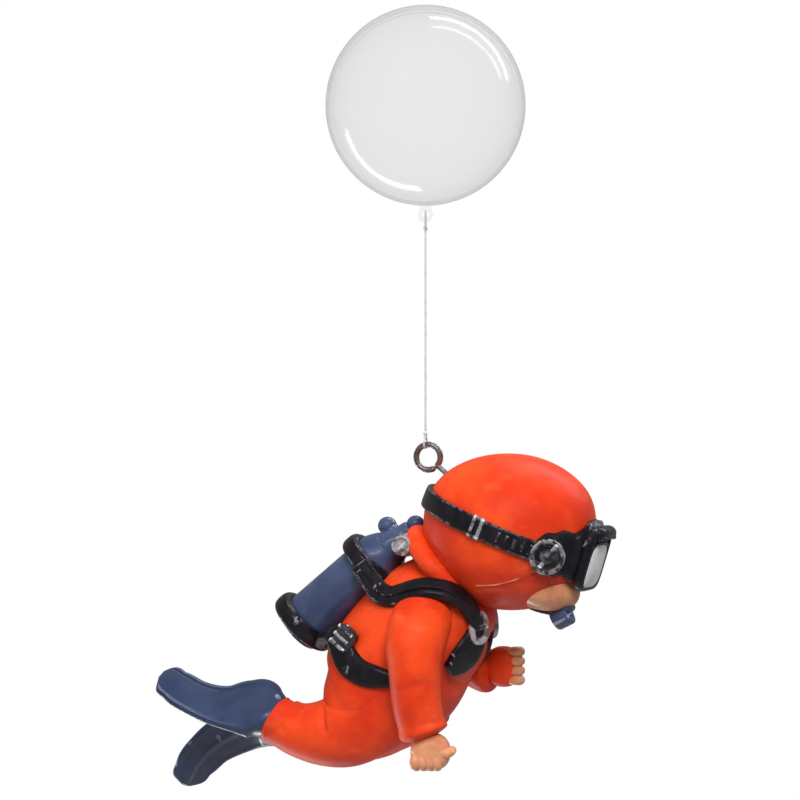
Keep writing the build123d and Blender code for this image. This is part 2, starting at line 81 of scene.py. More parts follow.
# ---------------------------------------------------------------- nylon line
# Clear fishing line, tied with a knot at the float and another at the screw eye.
# It hangs straight because the cast figure pulls on it.
class Wire:
    """A socket of a node tree that can be written in sums, so that shader maths reads as maths."""

    def __init__(self, paint, socket):
        self.paint, self.socket = paint, socket

    def maths(self, kind, first, second=None):
        values = {0: first} if second is None else {0: first, 1: second}
        return self.paint.node("ShaderNodeMath", {"operation": kind}, values)

    def __add__(self, other):
        return self.maths("ADD", self, other)

    def __sub__(self, other):
        return self.maths("SUBTRACT", self, other)

    def __rsub__(self, other):
        return self.maths("SUBTRACT", other, self)

    def __mul__(self, other):
        return self.maths("MULTIPLY", self, other)

    def __truediv__(self, other):
        return self.maths("DIVIDE", self, other)

    def __pow__(self, other):
        return self.maths("POWER", self, other)

    __radd__ = __add__
    __rmul__ = __mul__

    def above(self, low, high):
        """0 below low and 1 above high, with a soft step between them."""
        settings = {"interpolation_type": "SMOOTHSTEP"}
        return self.paint.node("ShaderNodeMapRange", settings, {0: self, 1: low, 2: high, 3: 0.0, 4: 1.0})

    def out(self, name):
        return Wire(self.paint, self.socket.node.outputs[name])


class Paint:
    """A procedural material. Each node comes from one method, and the finish sets the shader."""

    def __init__(self, name):
        self.material = bpy.data.materials.new(name)
        self.material.use_nodes = True
        self.tree = self.material.node_tree
        self.tree.nodes.clear()
        self.place = self.node("ShaderNodeTexCoord").out("Object")

    def node(self, kind, settings=(), values=(), result=0):
        made = self.tree.nodes.new(kind)
        for key, value in dict(settings).items():
            if key == "stops":
                ramp = made.color_ramp
                while len(ramp.elements) < len(value):
                    ramp.elements.new(0.5)
                for element, (at, colour) in zip(ramp.elements, value):
                    element.position, element.color = at, (*colour, 1.0)
            else:
                setattr(made, key, value)
        for key, value in dict(values).items():
            if isinstance(value, Wire):
                self.tree.links.new(value.socket, made.inputs[key])
            else:
                made.inputs[key].default_value = value
        return Wire(self, made.outputs[result]) if len(made.outputs) else made

    def noise(self, scale, detail=3.0, rough=0.55, stretch=None):
        place = self.place
        if stretch is not None:
            place = self.node("ShaderNodeVectorMath", {"operation": "MULTIPLY"}, {0: place, 1: stretch})
        settings = {"noise_dimensions": "3D"}
        values = {"Vector": place, "Scale": scale, "Detail": detail, "Roughness": rough}
        return self.node("ShaderNodeTexNoise", settings, values)

    def mix(self, share, first, second):
        """A colour between two, by a share from 0 to 1."""
        first = (*first, 1.0) if isinstance(first, tuple) and len(first) == 3 else first
        second = (*second, 1.0) if isinstance(second, tuple) and len(second) == 3 else second
        settings = {"data_type": "RGBA", "blend_type": "MIX"}
        return self.node("ShaderNodeMix", settings, {0: share, 6: first, 7: second}, result=2)

    def edges(self, low, high):
        """Marks each sharp convex edge for a painted highlight."""
        return self.node("ShaderNodeNewGeometry").out("Pointiness").above(low, high)

    def ramp(self, share, stops):
        return self.node("ShaderNodeValToRGB", {"stops": stops}, {0: share})

    def near_line(self, start, end, width):
        """1 close to a straight line between two places in millimetres, falling to 0 at width."""
        start, end = np.asarray(start, float) / 1000.0, np.asarray(end, float) / 1000.0
        run = end - start
        sums = {"operation": "SUBTRACT"}
        away = self.node("ShaderNodeVectorMath", sums, {0: self.place, 1: tuple(start)})
        along = self.node("ShaderNodeVectorMath", {"operation": "DOT_PRODUCT"},
                          {0: away, 1: tuple(run)}, result=1)
        share = self.node("ShaderNodeClamp", {}, {0: along * (1.0 / float(run @ run))})
        on_line = self.node("ShaderNodeVectorMath", {"operation": "SCALE"}, {0: tuple(run), "Scale": share})
        off = self.node("ShaderNodeVectorMath", sums, {0: away, 1: on_line})
        length = self.node("ShaderNodeVectorMath", {"operation": "LENGTH"}, {0: off}, result=1)
        return 1 - length.above(0.35 * width / 1000.0, width / 1000.0)

    def bump(self, height, strength, distance):
        return self.node("ShaderNodeBump", {}, {"Height": height, "Strength": strength, "Distance": distance})

    def finish(self, **sockets):
        values = {key.replace("_", " "): value for key, value in sockets.items()}
        for key, value in values.items():
            if isinstance(value, tuple) and len(value) == 3 and key.endswith(("Color", "Tint")):
                values[key] = (*value, 1.0)
        shader = self.node("ShaderNodeBsdfPrincipled", {}, values)
        self.node("ShaderNodeOutputMaterial", {}, {"Surface": shader})
        return self.material


def nylon_paint():
    """Clear monofilament: almost colourless, with a milky streak along it."""
    paint = Paint("nylon")
    streak = paint.noise(900.0, 2.0)
    colour = paint.mix(streak.above(0.35, 0.65), (0.55, 0.56, 0.58), (0.66, 0.67, 0.69))
    return paint.finish(Base_Color=colour, Roughness=streak * 0.1 + 0.35, Alpha=0.8, IOR=1.5)


def curve_piece(name, points, radius, material, closed=False):
    """A round cord along a smooth spline whose control points are given in millimetres."""
    curve = bpy.data.curves.new(name, "CURVE")
    curve.dimensions = "3D"
    curve.bevel_depth = radius / 1000.0
    curve.bevel_resolution = 5
    curve.use_fill_caps = True
    curve.resolution_u = 12
    spline = curve.splines.new("NURBS")
    spline.points.add(len(points) - 1)
    flat = np.ones((len(points), 4))
    flat[:, :3] = np.asarray(points, float) / 1000.0
    spline.points.foreach_set("co", flat.ravel())
    spline.order_u = 3
    spline.use_endpoint_u = True
    piece = bpy.data.objects.new(name, curve)
    bpy.context.scene.collection.objects.link(piece)
    curve.materials.append(material)
    return piece


def skin(name, grids, material, caps=True, body="diver", stands_for=()):
    """One mesh from grids of points in millimetres: rows run along a grid and columns round it.

    Neighbouring rows are joined by four-sided faces. Where caps is set, the first and last rows
    are closed on their own middle point. Its normals are made to point outwards at the end.
    """
    corners, faces, start = [], [], 0
    for points in grids if isinstance(grids, list) else [grids]:
        points = np.asarray(points, float)
        rows, columns = points.shape[:2]
        row, column = np.meshgrid(np.arange(rows - 1), np.arange(columns), indexing="ij")
        nearby = (column + 1) % columns
        quads = np.stack([row * columns + column, row * columns + nearby,
                          (row + 1) * columns + nearby, (row + 1) * columns + column], -1)
        faces += (quads.reshape(-1, 4) + start).tolist()
        corners.append(points.reshape(-1, 3))
        if caps:
            around = np.arange(columns)
            first, far = rows * columns, (rows - 1) * columns
            corners.append(np.array([points[0].mean(0), points[-1].mean(0)]))
            low = np.stack([(around + 1) % columns, around, np.full(columns, first)], -1)
            high = np.stack([far + around, far + (around + 1) % columns, np.full(columns, first + 1)], -1)
            faces += (low + start).tolist() + (high + start).tolist()
        start = sum(len(part) for part in corners)
    mesh = bpy.data.meshes.new(name)
    mesh.from_pydata((np.vstack(corners) / 1000.0).tolist(), [], faces)
    return dress(name, mesh, material, body, stands_for)


def dress(name, mesh, material, body="diver", stands_for=()):
    work = bmesh.new()
    work.from_mesh(mesh)
    bmesh.ops.remove_doubles(work, verts=work.verts, dist=2e-6)
    bmesh.ops.recalc_face_normals(work, faces=work.faces)
    work.to_mesh(mesh)
    work.free()
    mesh.polygons.foreach_set("use_smooth", np.ones(len(mesh.polygons), bool))
    mesh.materials.append(material)
    piece = bpy.data.objects.new(name, mesh)
    bpy.context.scene.collection.objects.link(piece)
    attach(piece, body)
    if stands_for:
        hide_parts(*stands_for)
    return piece


def tube(path, radii, around=24, side=(0.0, 1.0, 0.0), flat=1.0, power=2.0):
    """A closed tube: at each point of a path a ring is set square to it.

    A ring is a superellipse: cos t and sin t are raised to 2 / power with their sign kept, and
    scaled by the radius across and by flat times the radius along the other way.
    """
    path = np.asarray(path, float)
    along = np.gradient(path, axis=0)
    along /= np.linalg.norm(along, axis=1, keepdims=True)
    side = np.broadcast_to(np.asarray(side, float), path.shape)
    across = side - along * (along * side).sum(-1, keepdims=True)
    across /= np.linalg.norm(across, axis=1, keepdims=True)
    up = np.cross(along, across)
    t = np.linspace(0, 2 * np.pi, around, endpoint=False)
    c = np.sign(np.cos(t)) * np.abs(np.cos(t)) ** (2 / power)
    s = np.sign(np.sin(t)) * np.abs(np.sin(t)) ** (2 / power)
    radii = np.broadcast_to(np.asarray(radii, float), (len(path),))
    flat = np.broadcast_to(np.asarray(flat, float), (len(path),))
    return (path[:, None] + radii[:, None, None] * c[None, :, None] * across[:, None]
            + (radii * flat)[:, None, None] * s[None, :, None] * up[:, None])


nylon = nylon_paint()
line_low, line_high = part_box("line")
knot_high = 1000 * line_high.z
knot_low = 1000 * line_low.z
line_points = [(0, 0, knot_high + (knot_low - knot_high) * share) for share in (0, 0.25, 0.5, 0.75, 1)]
line = curve_piece("hanging_line", line_points, 0.15, nylon)
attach(line, "line")
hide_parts("line")


def overhand(centre, name, body, stands_for, size=0.23):
    """A small tied knot: x = sin t + 2 sin 2t, y = cos t - 2 cos 2t and z = -sin 3t, scaled to size."""
    t = np.linspace(0, 2 * np.pi, 72, endpoint=False)
    path = np.stack([np.sin(t) + 2 * np.sin(2 * t), np.cos(t) - 2 * np.cos(2 * t), -1.3 * np.sin(3 * t)], -1)
    path = path[:, [0, 2, 1]] * size / 2.6 + np.asarray(centre, float)
    along = np.roll(path, -1, 0) - np.roll(path, 1, 0)
    along /= np.linalg.norm(along, axis=1, keepdims=True)
    across = np.cross(along, (0.31, 0.47, 0.83))
    across /= np.linalg.norm(across, axis=1, keepdims=True)
    up = np.cross(along, across)
    a = np.linspace(0, 2 * np.pi, 10, endpoint=False)
    ring = 0.12 * (np.cos(a)[None, :, None] * across[:, None] + np.sin(a)[None, :, None] * up[:, None])
    grid = path[:, None] + ring
    grid = np.concatenate([grid, grid[:1]], 0)
    return skin(name, grid, nylon, caps=False, body=body, stands_for=stands_for)


top_low, top_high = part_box("upper_knot")
low_low, low_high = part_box("lower_knot")
top_knot = 500 * (top_low.z + top_high.z)
bottom_knot = 500 * (low_low.z + low_high.z)
tie_top = overhand((0, 0, top_knot), "upper_tie", "line", ["upper_knot"])
tie_low = overhand((0, 0, bottom_knot), "lower_tie", "lower_loop", ["lower_knot"])


def tied(knot, far, half, turned, name, body, stands_for):
    """One turn of line from the knot, round what it holds, and back. turned is its angle about Z."""
    toward = 1 if far > knot else -1
    outline = [(0.05, knot + toward * 0.2), (half * 0.75, knot + toward * 0.8),
               (half * 1.08, far - toward * 0.3),
               (half * 0.98, far + toward * half * 0.92), (-half * 0.98, far + toward * half * 0.92),
               (-half * 1.08, far - toward * 0.3), (-half * 0.75, knot + toward * 0.8),
               (-0.05, knot + toward * 0.2)]
    c, s = math.cos(turned), math.sin(turned)
    piece = curve_piece(name, [(-y * s, y * c, z) for y, z in outline], 0.15, nylon)
    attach(piece, body)
    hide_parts(*stands_for)
    return piece


joint_at = {joint["name"]: 1000 * np.array(joint["pos_m"]) for joint in frame["joints"]}
float_hole = joint_at["line_swing"][2]
loop_top = tied(top_knot, float_hole, 0.6, math.radians(20.0), "float_loop", "upper_loop", ["upper_loop"])
low_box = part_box("lower_loop")[0]
loop_low = tied(bottom_knot, 1000 * low_box.z + 0.95, 0.65, 0.0, "screw_loop", "lower_loop", ["lower_loop"])


# ---------------------------------------------------------------- float
# Two clear moulded cups welded round the middle, with a hanging tab on the front one.
# The plastic is slightly milky and polished.
def float_paint():
    """Clear plastic: grey where it is seen through, paler in the wall at the rim, and glossy."""
    paint = Paint("clear_float")
    cloud = paint.noise(60.0, 3.0)
    rim = paint.node("ShaderNodeLayerWeight", {}, {"Blend": 0.5}).out("Facing")
    clear = paint.node("ShaderNodeBsdfTransparent", {}, {"Color": (0.952, 0.952, 0.952, 1.0)})
    milk = paint.node("ShaderNodeBsdfPrincipled", {}, {
        "Base Color": paint.mix(cloud.above(0.3, 0.7), (0.60, 0.60, 0.61), (0.64, 0.64, 0.65)),
        "Roughness": cloud * 0.04 + 0.05, "IOR": 1.45, "Coat Weight": 0.5, "Coat Roughness": 0.04})
    outer = paint.node("ShaderNodeVectorMath", {"operation": "LENGTH"},
                       {0: paint.place}, result=1).above(0.0143, 0.0147)
    share = (rim ** 4.0 * 0.30 + 0.03) * outer
    glaze = paint.node("ShaderNodeMixShader", {}, {0: share, 1: clear, 2: milk})
    sheen = paint.node("ShaderNodeBsdfAnisotropic", {}, {"Color": (1.0, 1.0, 1.0, 1.0), "Roughness": 0.13})
    mirror = paint.node("ShaderNodeMixShader", {}, {0: rim ** 2.0 * 0.16 * outer, 1: glaze, 2: sheen})
    paint.node("ShaderNodeOutputMaterial", {}, {"Surface": mirror})
    return paint.material


clear_float = float_paint()


def repaint(node, material):
    """Gives a CAD node a better material."""
    piece = frame["nodes"][node]
    piece.data.materials.clear()
    piece.data.materials.append(material)
    return piece


repaint("float_front_shell", clear_float)
repaint("float_back_shell", clear_float)


# ---------------------------------------------------------------- screw eye
# One bright wire bent into a ring, its end shut against the shank, screwed into the hood.
def steel_paint():
    """Nickel-plated steel wire, with fine drawing lines and a few dull spots."""
    paint = Paint("bright_steel")
    spots = paint.noise(1400.0, 4.0)
    colour = paint.mix(spots.above(0.45, 0.75), (0.42, 0.37, 0.37), (0.16, 0.11, 0.11))
    lines = paint.noise(2500.0, 2.0, stretch=(1.0, 0.2, 1.0))
    return paint.finish(Base_Color=colour, Metallic=1.0, Roughness=spots * 0.15 + 0.22,
                        Normal=paint.bump(lines, 0.15, 0.00003))


steel = steel_paint()
ring = joint_at["diver_swing"]
shank_angle = math.radians(40.8)
shank = np.array([math.cos(shank_angle), 0.0, -math.sin(shank_angle)])
wire_r = 0.45
ring_r = 1.9
t = np.linspace(0, 1, 97)
turned = -shank_angle - math.radians(3) + t * math.radians(352)
hoop = ring + ring_r * np.stack([np.cos(turned), 0 * t, np.sin(turned)], -1)
skin("screw_ring", tube(hoop, wire_r * np.clip((1 - t) * 30, 0.3, 1) ** 0.5, side=(0, 1, 0)), steel,
     stands_for=["eye_screw"])
s = np.linspace(0, 1, 160)
rod = ring + shank * (ring_r - 0.1 + 9.0 * s)[:, None]
thread = 1 + 0.10 * np.sin(2 * np.pi * 16 * s) * np.clip((s - 0.36) * 20, 0, 1)
taper = np.clip((1 - s) * 9, 0.02, 1)
skin("screw_shank", tube(rod, 0.41 * thread * taper), steel)


# ---------------------------------------------------------------- suit: hood
# The hood is the top of the casting, painted glossy orange-red, with a raised rim round the face.
# Pale lines along its crease and round the face are a painted highlight, each over a broader painted shadow
# just below it.
def suit_paint(name="suit_paint", lit_creases=()):
    """Orange-red paint: cloudy, with painted shade in hollows, and a painted highlight along each given
    crease line over a broader painted shadow just below it.
    """
    paint = Paint(name)
    cloud = paint.noise(110.0, 3.0)
    grime = paint.noise(420.0, 4.0)
    base = paint.mix(cloud.above(0.34, 0.68), (0.60, 0.030, 0.005), (0.82, 0.066, 0.010))
    base = paint.mix(grime.above(0.50, 0.80) * 0.45, base, (0.50, 0.030, 0.008))
    brushed = paint.noise(190.0, 5.0, stretch=(1.0, 1.0, 2.4))
    base = paint.mix(brushed.above(0.56, 0.80) * 0.40, base, (0.88, 0.15, 0.05))
    # Painted shade: darker where the surface is concave.
    hollow_shade = 1 - paint.node("ShaderNodeNewGeometry").out("Pointiness").above(0.40, 0.495)
    base = paint.mix(hollow_shade * 0.55, base, (0.44, 0.026, 0.008))
    # Painted shadow in a broad band just below each crease line, then a painted highlight along the line
    # itself.
    for start, end, width in lit_creases:
        shade = paint.near_line(np.asarray(start) - (0.25, 0, 0.45),
                                np.asarray(end) - (0.25, 0, 0.45), width * 3.2)
        base = paint.mix(shade * 0.45, base, (0.40, 0.020, 0.006))
        base = paint.mix(paint.near_line(start, end, width) * 0.85, base, (0.90, 0.42, 0.25))
    grain = paint.noise(2200.0, 3.0)
    dents = paint.noise(260.0, 2.0)
    return paint.finish(Base_Color=base, Roughness=grime * 0.16 + 0.38, Specular_IOR_Level=0.30,
                        Normal=paint.bump(grain * 0.35 + dents + brushed, 0.35, 0.0002))


suit = suit_paint()


def soft_box(u, v, power):
    """Directions on a superellipsoid: cos and sin of both angles, raised to 2 / power, sign kept."""
    def rounded(value):
        return np.sign(value) * np.abs(value) ** (2.0 / power)
    return (rounded(np.cos(v)) * rounded(np.cos(u)), rounded(np.cos(v)) * rounded(np.sin(u)),
            rounded(np.sin(v)))


def blob(centre, size, pitch=0.0, power=2.0, rows=64, columns=96, yaw=0.0):
    """A superellipsoid with three full sizes, nose down by the pitch and turned by the yaw.

    Its poles are at its top and bottom.
    """
    v = np.linspace(-np.pi / 2, np.pi / 2, rows)[:, None]
    u = np.linspace(0, 2 * np.pi, columns, endpoint=False)[None, :]
    x, y, z = np.broadcast_arrays(*soft_box(u, v, power))
    grid = np.stack([x * size[0] / 2, y * size[1] / 2, z * size[2] / 2], -1)
    p, w = math.radians(pitch), math.radians(yaw)
    tilt = np.array([[math.cos(p), 0, math.sin(p)], [0, 1, 0], [-math.sin(p), 0, math.cos(p)]])
    spin = np.array([[math.cos(w), -math.sin(w), 0], [math.sin(w), math.cos(w), 0], [0, 0, 1]])
    return grid @ (spin @ tilt).T + np.asarray(centre, float)


def swell(grid, at, reach, push, squeeze=(1.0, 1.0, 1.0)):
    """Moves points near a place by push, falling off as a bell curve exp(-(distance / reach) squared)."""
    away = (grid - np.asarray(at, float)) / (reach * np.asarray(squeeze, float))
    bell = np.exp(-(away ** 2).sum(-1))
    return grid + bell[..., None] * np.asarray(push, float)


def groove(grid, start, end, depth, width):
    """Presses a straight crease into a grid: points near the segment move toward its far side.

    A point moves by depth times exp(-(distance / width) squared), away from the grid's own middle.
    """
    start, end = np.asarray(start, float), np.asarray(end, float)
    run = end - start
    share = np.clip(((grid - start) @ run) / (run @ run), 0, 1)
    away = np.linalg.norm(grid - (start + share[..., None] * run), axis=-1)
    middle = grid.reshape(-1, 3).mean(0)
    outward = grid - middle
    outward /= np.linalg.norm(outward, axis=-1, keepdims=True) + 1e-9
    return grid - outward * (depth * np.exp(-(away / width) ** 2))[..., None]


head_long, head_wide, head_high = 25.4, 21.2, 23.2
shank_shown = 2.7
head_reach = 1 / math.sqrt((shank[0] * 2 / head_long) ** 2 + (shank[2] * 2 / head_high) ** 2)
head = ring + shank * (ring_r + shank_shown + head_reach)
neck = head + np.array([-0.17 * head_long, 0.0, -0.36 * head_high])
hood = blob(head, (head_long, head_wide, head_high), power=2.12, rows=150, columns=200)
hood = swell(hood, head + (12.0, 0, 4.0), 5.5, (0.5, 0, 0.5), (1, 2, 1))
hood = swell(hood, head + (-9.5, 0, 5.5), 6.0, (-0.5, 0, 0.4), (1, 1.4, 1))
hood = swell(hood, head + (9.0, 0, -5.0), 7.0, (0.0, 0, -0.4), (1, 1.4, 1))
hood = groove(hood, head + (1.6, -11.0, -6.4), head + (8.0, -9.0, -4.2), 0.22, 0.5)
hood = groove(hood, head + (-2.0, -10.0, -7.6), head + (1.6, -11.0, -6.8), 0.2, 0.5)


def on_hood(angle, rise=0.0, off=0.0, tilt=22.0):
    """Places round the hood in a plane that is nose down by the tilt.

    A direction is scaled until the powers of its parts over the hood's half sizes add up to 1,
    and pushed out by off. rise is the angle above the plane, in degrees.
    """
    angle = np.atleast_1d(np.radians(angle))[:, None]
    lift, lean = math.radians(rise + 2.0), math.radians(tilt)
    ahead = np.array([math.cos(lean), 0.0, -math.sin(lean)])
    above = np.array([math.sin(lean), 0.0, math.cos(lean)])
    way = (np.cos(angle) * math.cos(lift) * ahead + np.sin(angle) * math.cos(lift) * np.array([0.0, 1.0, 0.0])
           + math.sin(lift) * above)
    half = np.array([12.7, 10.6, 11.6])
    reach = (np.abs(way / half) ** 2.12).sum(-1, keepdims=True) ** (-1 / 2.12)
    return head + way * (reach + off), way


def seen_on_hood(across, height):
    """The place on the right of the hood that lies at a distance along and above its middle."""
    x, z = across / 12.7, height / 11.6
    y = -10.6 * max(1 - (abs(x) ** 2.12 + abs(z) ** 2.12), 0.0) ** (1 / 2.12)
    return head + (across, y, height)


flap = [seen_on_hood(*place) for place in ((9.3, -3.9), (6.6, -5.2), (3.6, -6.6), (0.6, -7.4), (-2.4, -7.6))]
rim = [seen_on_hood(*place) for place in ((9.9, -4.6), (9.4, -5.4), (8.3, -6.9), (7.2, -8.2), (6.0, -9.3))]
# Painted highlights along the hood's crease and face rim, each with painted shadow just below.
crease_highlights = ([(a, b, 0.17) for a, b in zip(flap[:-1], flap[1:])]
              + [(a, b, 0.2) for a, b in zip(rim[:-1], rim[1:])])
skin("hood_cap", hood, suit_paint("hood_paint", crease_highlights), stands_for=["hood"])


# ---------------------------------------------------------------- suit: body, legs and sleeves
# The trunk is cast with the legs and arms, and painted with the hood.
# Each cuff is a low step in the casting, and the cloth folds are soft creases.
def through(stations, count):
    """Evenly spread rows on a smooth curve through stations: a Catmull-Rom cubic between each two."""
    stations = np.asarray(stations, float)
    chord = np.r_[0, np.cumsum(np.linalg.norm(np.diff(stations[:, :3], axis=0), axis=1))]
    want = np.linspace(0, chord[-1], count)
    i = np.clip(np.searchsorted(chord, want, side="right") - 1, 0, len(stations) - 2)
    slope = np.gradient(stations, chord, axis=0)
    run = (chord[i + 1] - chord[i])[:, None]
    f = (want[:, None] - chord[i][:, None]) / run
    return ((2 * f ** 3 - 3 * f ** 2 + 1) * stations[i] + (f ** 3 - 2 * f ** 2 + f) * run * slope[i]
            + (3 * f ** 2 - 2 * f ** 3) * stations[i + 1] + (f ** 3 - f ** 2) * run * slope[i + 1])


def limb(stations, count=80, around=96, power=2.0, side=(0.0, 1.0, 0.0), round_ends=True):
    """A tube through stations of x, y, z, depth and width, with its ends drawn in as half an ellipse."""
    rows = through(stations, count)
    width = rows[:, 4] / 2
    if round_ends:
        share = np.linspace(0, 1, count)
        width = width * np.sqrt(1 - np.clip(1 - share / 0.06, 0, 1) ** 2 * 0.9)
        width = width * np.sqrt(1 - np.clip(1 - (1 - share) / 0.06, 0, 1) ** 2 * 0.9)
    return tube(rows[:, :3], width, around, side, rows[:, 3] / np.maximum(rows[:, 4], 1e-6), power)


def from_neck(stations):
    """The same stations, with their places counted from the neck."""
    return [(neck[0] + x, y, neck[2] + z, depth, width) for x, y, z, depth, width in stations]


torso = limb(from_neck([(0.4, 0, 0.2, 6.4, 8.4), (-1.5, 0, -1.0, 12.0, 13.8), (-4.2, 0, -2.4, 16.6, 17.2),
                        (-9.8, 0, -7.4, 20.2, 19.0), (-14.2, 0, -13.5, 21.2, 19.2),
                        (-17.9, 0, -17.7, 17.8, 18.8), (-21.0, 0, -19.6, 12.4, 16.0),
                        (-23.3, 0, -20.7, 6.0, 9.4)]), 120, 160)
torso = groove(torso, neck + (-16.5, -9.5, -22.0), neck + (-13.0, -9.2, -17.0), 0.5, 0.7)
crease = [neck + place for place in ((-10.6, -6.5, -22.6), (-12.2, -8.8, -24.0), (-13.6, -9.3, -25.6))]
# A painted highlight along this fold, over a painted shadow just below it.
trunk_crease_highlights = [(a, b, 0.2) for a, b in zip(crease[:-1], crease[1:])]
skin("suit_trunk", torso, suit_paint("trunk_paint", trunk_crease_highlights), stands_for=["torso"])

right_leg = limb(from_neck([(-9.5, -4.3, -14.6, 13.0, 9.6), (-15.2, -4.6, -18.4, 13.2, 9.8),
                            (-20.2, -4.75, -21.5, 11.4, 9.5), (-24.2, -4.75, -22.1, 9.6, 9.0),
                            (-27.6, -4.75, -21.7, 8.1, 8.2), (-30.6, -4.75, -20.6, 7.3, 7.4),
                            (-31.6, -4.75, -20.1, 7.6, 7.6), (-31.9, -4.75, -19.9, 5.4, 5.4)]), 130, 120)
left_leg = limb(from_neck([(-9.5, 4.3, -14.6, 13.0, 9.6), (-15.2, 4.6, -18.4, 13.2, 9.8),
                           (-20.2, 4.75, -21.5, 11.4, 9.5), (-24.2, 4.75, -22.1, 9.6, 9.0),
                           (-28.2, 4.75, -22.3, 7.2, 7.8), (-31.8, 4.75, -21.5, 5.8, 6.6),
                           (-32.9, 4.75, -21.2, 6.0, 6.7), (-33.3, 4.75, -21.0, 4.4, 4.9)]), 130, 120)
right_leg = groove(right_leg, neck + (-22.6, -8.2, -17.6), neck + (-21.6, -9.4, -21.2), 0.5, 0.55)
right_leg = groove(right_leg, neck + (-30.0, -4.75, -16.8), neck + (-28.6, -8.9, -21.6), 0.35, 0.5)
skin("right_trouser", right_leg, suit, stands_for=["right_leg"])
skin("left_trouser", left_leg, suit, stands_for=["left_leg"])

right_arm = limb(from_neck([(-6.2, -4.6, -2.4, 8.6, 8.4), (-6.6, -7.9, -4.6, 9.2, 8.6),
                            (-6.9, -10.1, -8.0, 8.8, 8.2), (-6.6, -10.9, -12.2, 7.8, 7.5),
                            (-6.3, -11.1, -16.2, 7.3, 7.2), (-5.7, -10.9, -19.2, 7.0, 7.0),
                            (-5.1, -10.8, -21.3, 6.6, 6.5), (-4.9, -10.8, -21.8, 5.2, 5.2)]), 110, 110)
right_arm = groove(right_arm, neck + (-8.6, -13.6, -15.0), neck + (-4.6, -14.2, -13.6), 0.22, 0.8)
left_arm = limb(from_neck([(-4.9, 6.8, -3.3, 7.4, 7.4), (-6.2, 9.6, -7.4, 7.5, 7.4),
                           (-6.1, 10.7, -11.0, 7.0, 7.0),
                           (-4.1, 10.6, -13.0, 6.4, 6.5), (-1.6, 10.1, -13.4, 5.8, 6.0),
                           (-1.2, 10.0, -13.4, 4.8, 5.0)]), 100, 96)
skin("right_arm_sleeve", right_arm, suit, stands_for=["right_sleeve"])
skin("left_arm_sleeve", left_arm, suit, stands_for=["left_sleeve"])


# ---------------------------------------------------------------- suit: collar
# A rolled collar of the suit between the back of the hood and the shoulders.
t = np.linspace(0, 2 * np.pi, 121)
collar_mid = head + (-0.325 * head_long - 0.9, 0.0, -0.25 * head_high + 0.3)
lean = math.radians(44.5)
collar_path = collar_mid + 6.9 * (np.cos(t)[:, None] * np.array([math.cos(lean), 0, -math.sin(lean)])
                                   + np.sin(t)[:, None] * np.array([0.0, 1.0, 0.0]))
collar_side = np.broadcast_to(np.array([math.sin(lean), 0.0, math.cos(lean)]), collar_path.shape)
skin("suit_collar", tube(collar_path, 1.6, 28, collar_side), suit, caps=False, stands_for=["collar"])


# ---------------------------------------------------------------- hands and face
# Bare hands and the lower half of the face, painted a warm skin colour.
# The fingers are one row of low ridges, as on a small casting.
def skin_paint():
    """Skin-coloured paint: light and dark clouds, with painted shade in hollows and a painted highlight along
    every sharp convex edge.
    """
    paint = Paint("skin_paint")
    cloud = paint.noise(300.0, 3.0)
    base = paint.mix(cloud.above(0.35, 0.7), (0.72, 0.31, 0.155), (0.58, 0.22, 0.10))
    # Painted shade: browner where the surface is concave.
    hollow_shade = 1 - paint.node("ShaderNodeNewGeometry").out("Pointiness").above(0.40, 0.50)
    base = paint.mix(hollow_shade * 0.7, base, (0.40, 0.13, 0.05))
    # Painted highlight: paler along every sharp convex edge.
    base = paint.mix(paint.edges(0.54, 0.62) * 0.6, base, (0.85, 0.52, 0.34))
    grain = paint.noise(2000.0, 3.0)
    return paint.finish(Base_Color=base, Roughness=cloud * 0.15 + 0.32, Coat_Weight=0.25, Coat_Roughness=0.15,
                        Normal=paint.bump(grain, 0.2, 0.00008))


flesh = skin_paint()


def finger(start, middle, end, radius):
    """A bent finger: a tube through three points with round ends."""
    rows = through([(*start, 2 * radius, 2 * radius), (*middle, 2.1 * radius, 2.1 * radius),
                    (*end, 1.8 * radius, 1.8 * radius)], 24)
    share = np.linspace(-1, 1, 24)
    width = rows[:, 4] / 2 * np.sqrt(np.clip(1 - np.abs(share) ** 6, 0.02, 1))
    return tube(rows[:, :3], width, 20, (0.3, 0.9, 0.3))


wrist = neck + (-4.6, -10.8, -22.1)
palm = blob(wrist + (0.3, 0.2, -1.4), (5.9, 4.6, 5.6), power=2.3, rows=48, columns=64)
fingers = [finger(wrist + (x, -1.2, -1.6), wrist + (x * 1.05 + 0.1, -1.6 + 0.2 * k, -3.1),
                  wrist + (x, 0.2, -3.7), 0.74)
           for k, x in enumerate((-1.5, -0.45, 0.6, 1.5))]
thumb = finger(wrist + (1.3, -1.1, -0.8), wrist + (2.9, -0.6, -1.5), wrist + (4.2, 0.2, -0.7), 0.72)
skin("right_fist", [palm, *fingers, thumb], flesh, stands_for=["right_hand"])

wrist = neck + (-1.9, 10.1, -13.3)
palm = blob(wrist + (2.2, -0.4, 0.7), (5.4, 4.0, 6.2), power=2.4, rows=48, columns=64)
fingers = [finger(wrist + (3.0, -1.0, z), wrist + (4.9, -1.2, z * 1.03), wrist + (4.6, 0.6, z), 0.74)
           for z in (3.0, 1.6, 0.2, -1.2)]
skin("left_palm", palm, suit, stands_for=["left_hand"])
skin("left_fingers", fingers, flesh)

face = blob(head + (0.205 * head_long, 0, -0.33 * head_high), (10.8, 12.0, 7.6), 12, 2.2, 90, 120)
face = swell(face, head + (9.2, 0, -9.6), 2.2, (0.5, 0, -0.3))
skin("lower_face", face, flesh, stands_for=["face"])
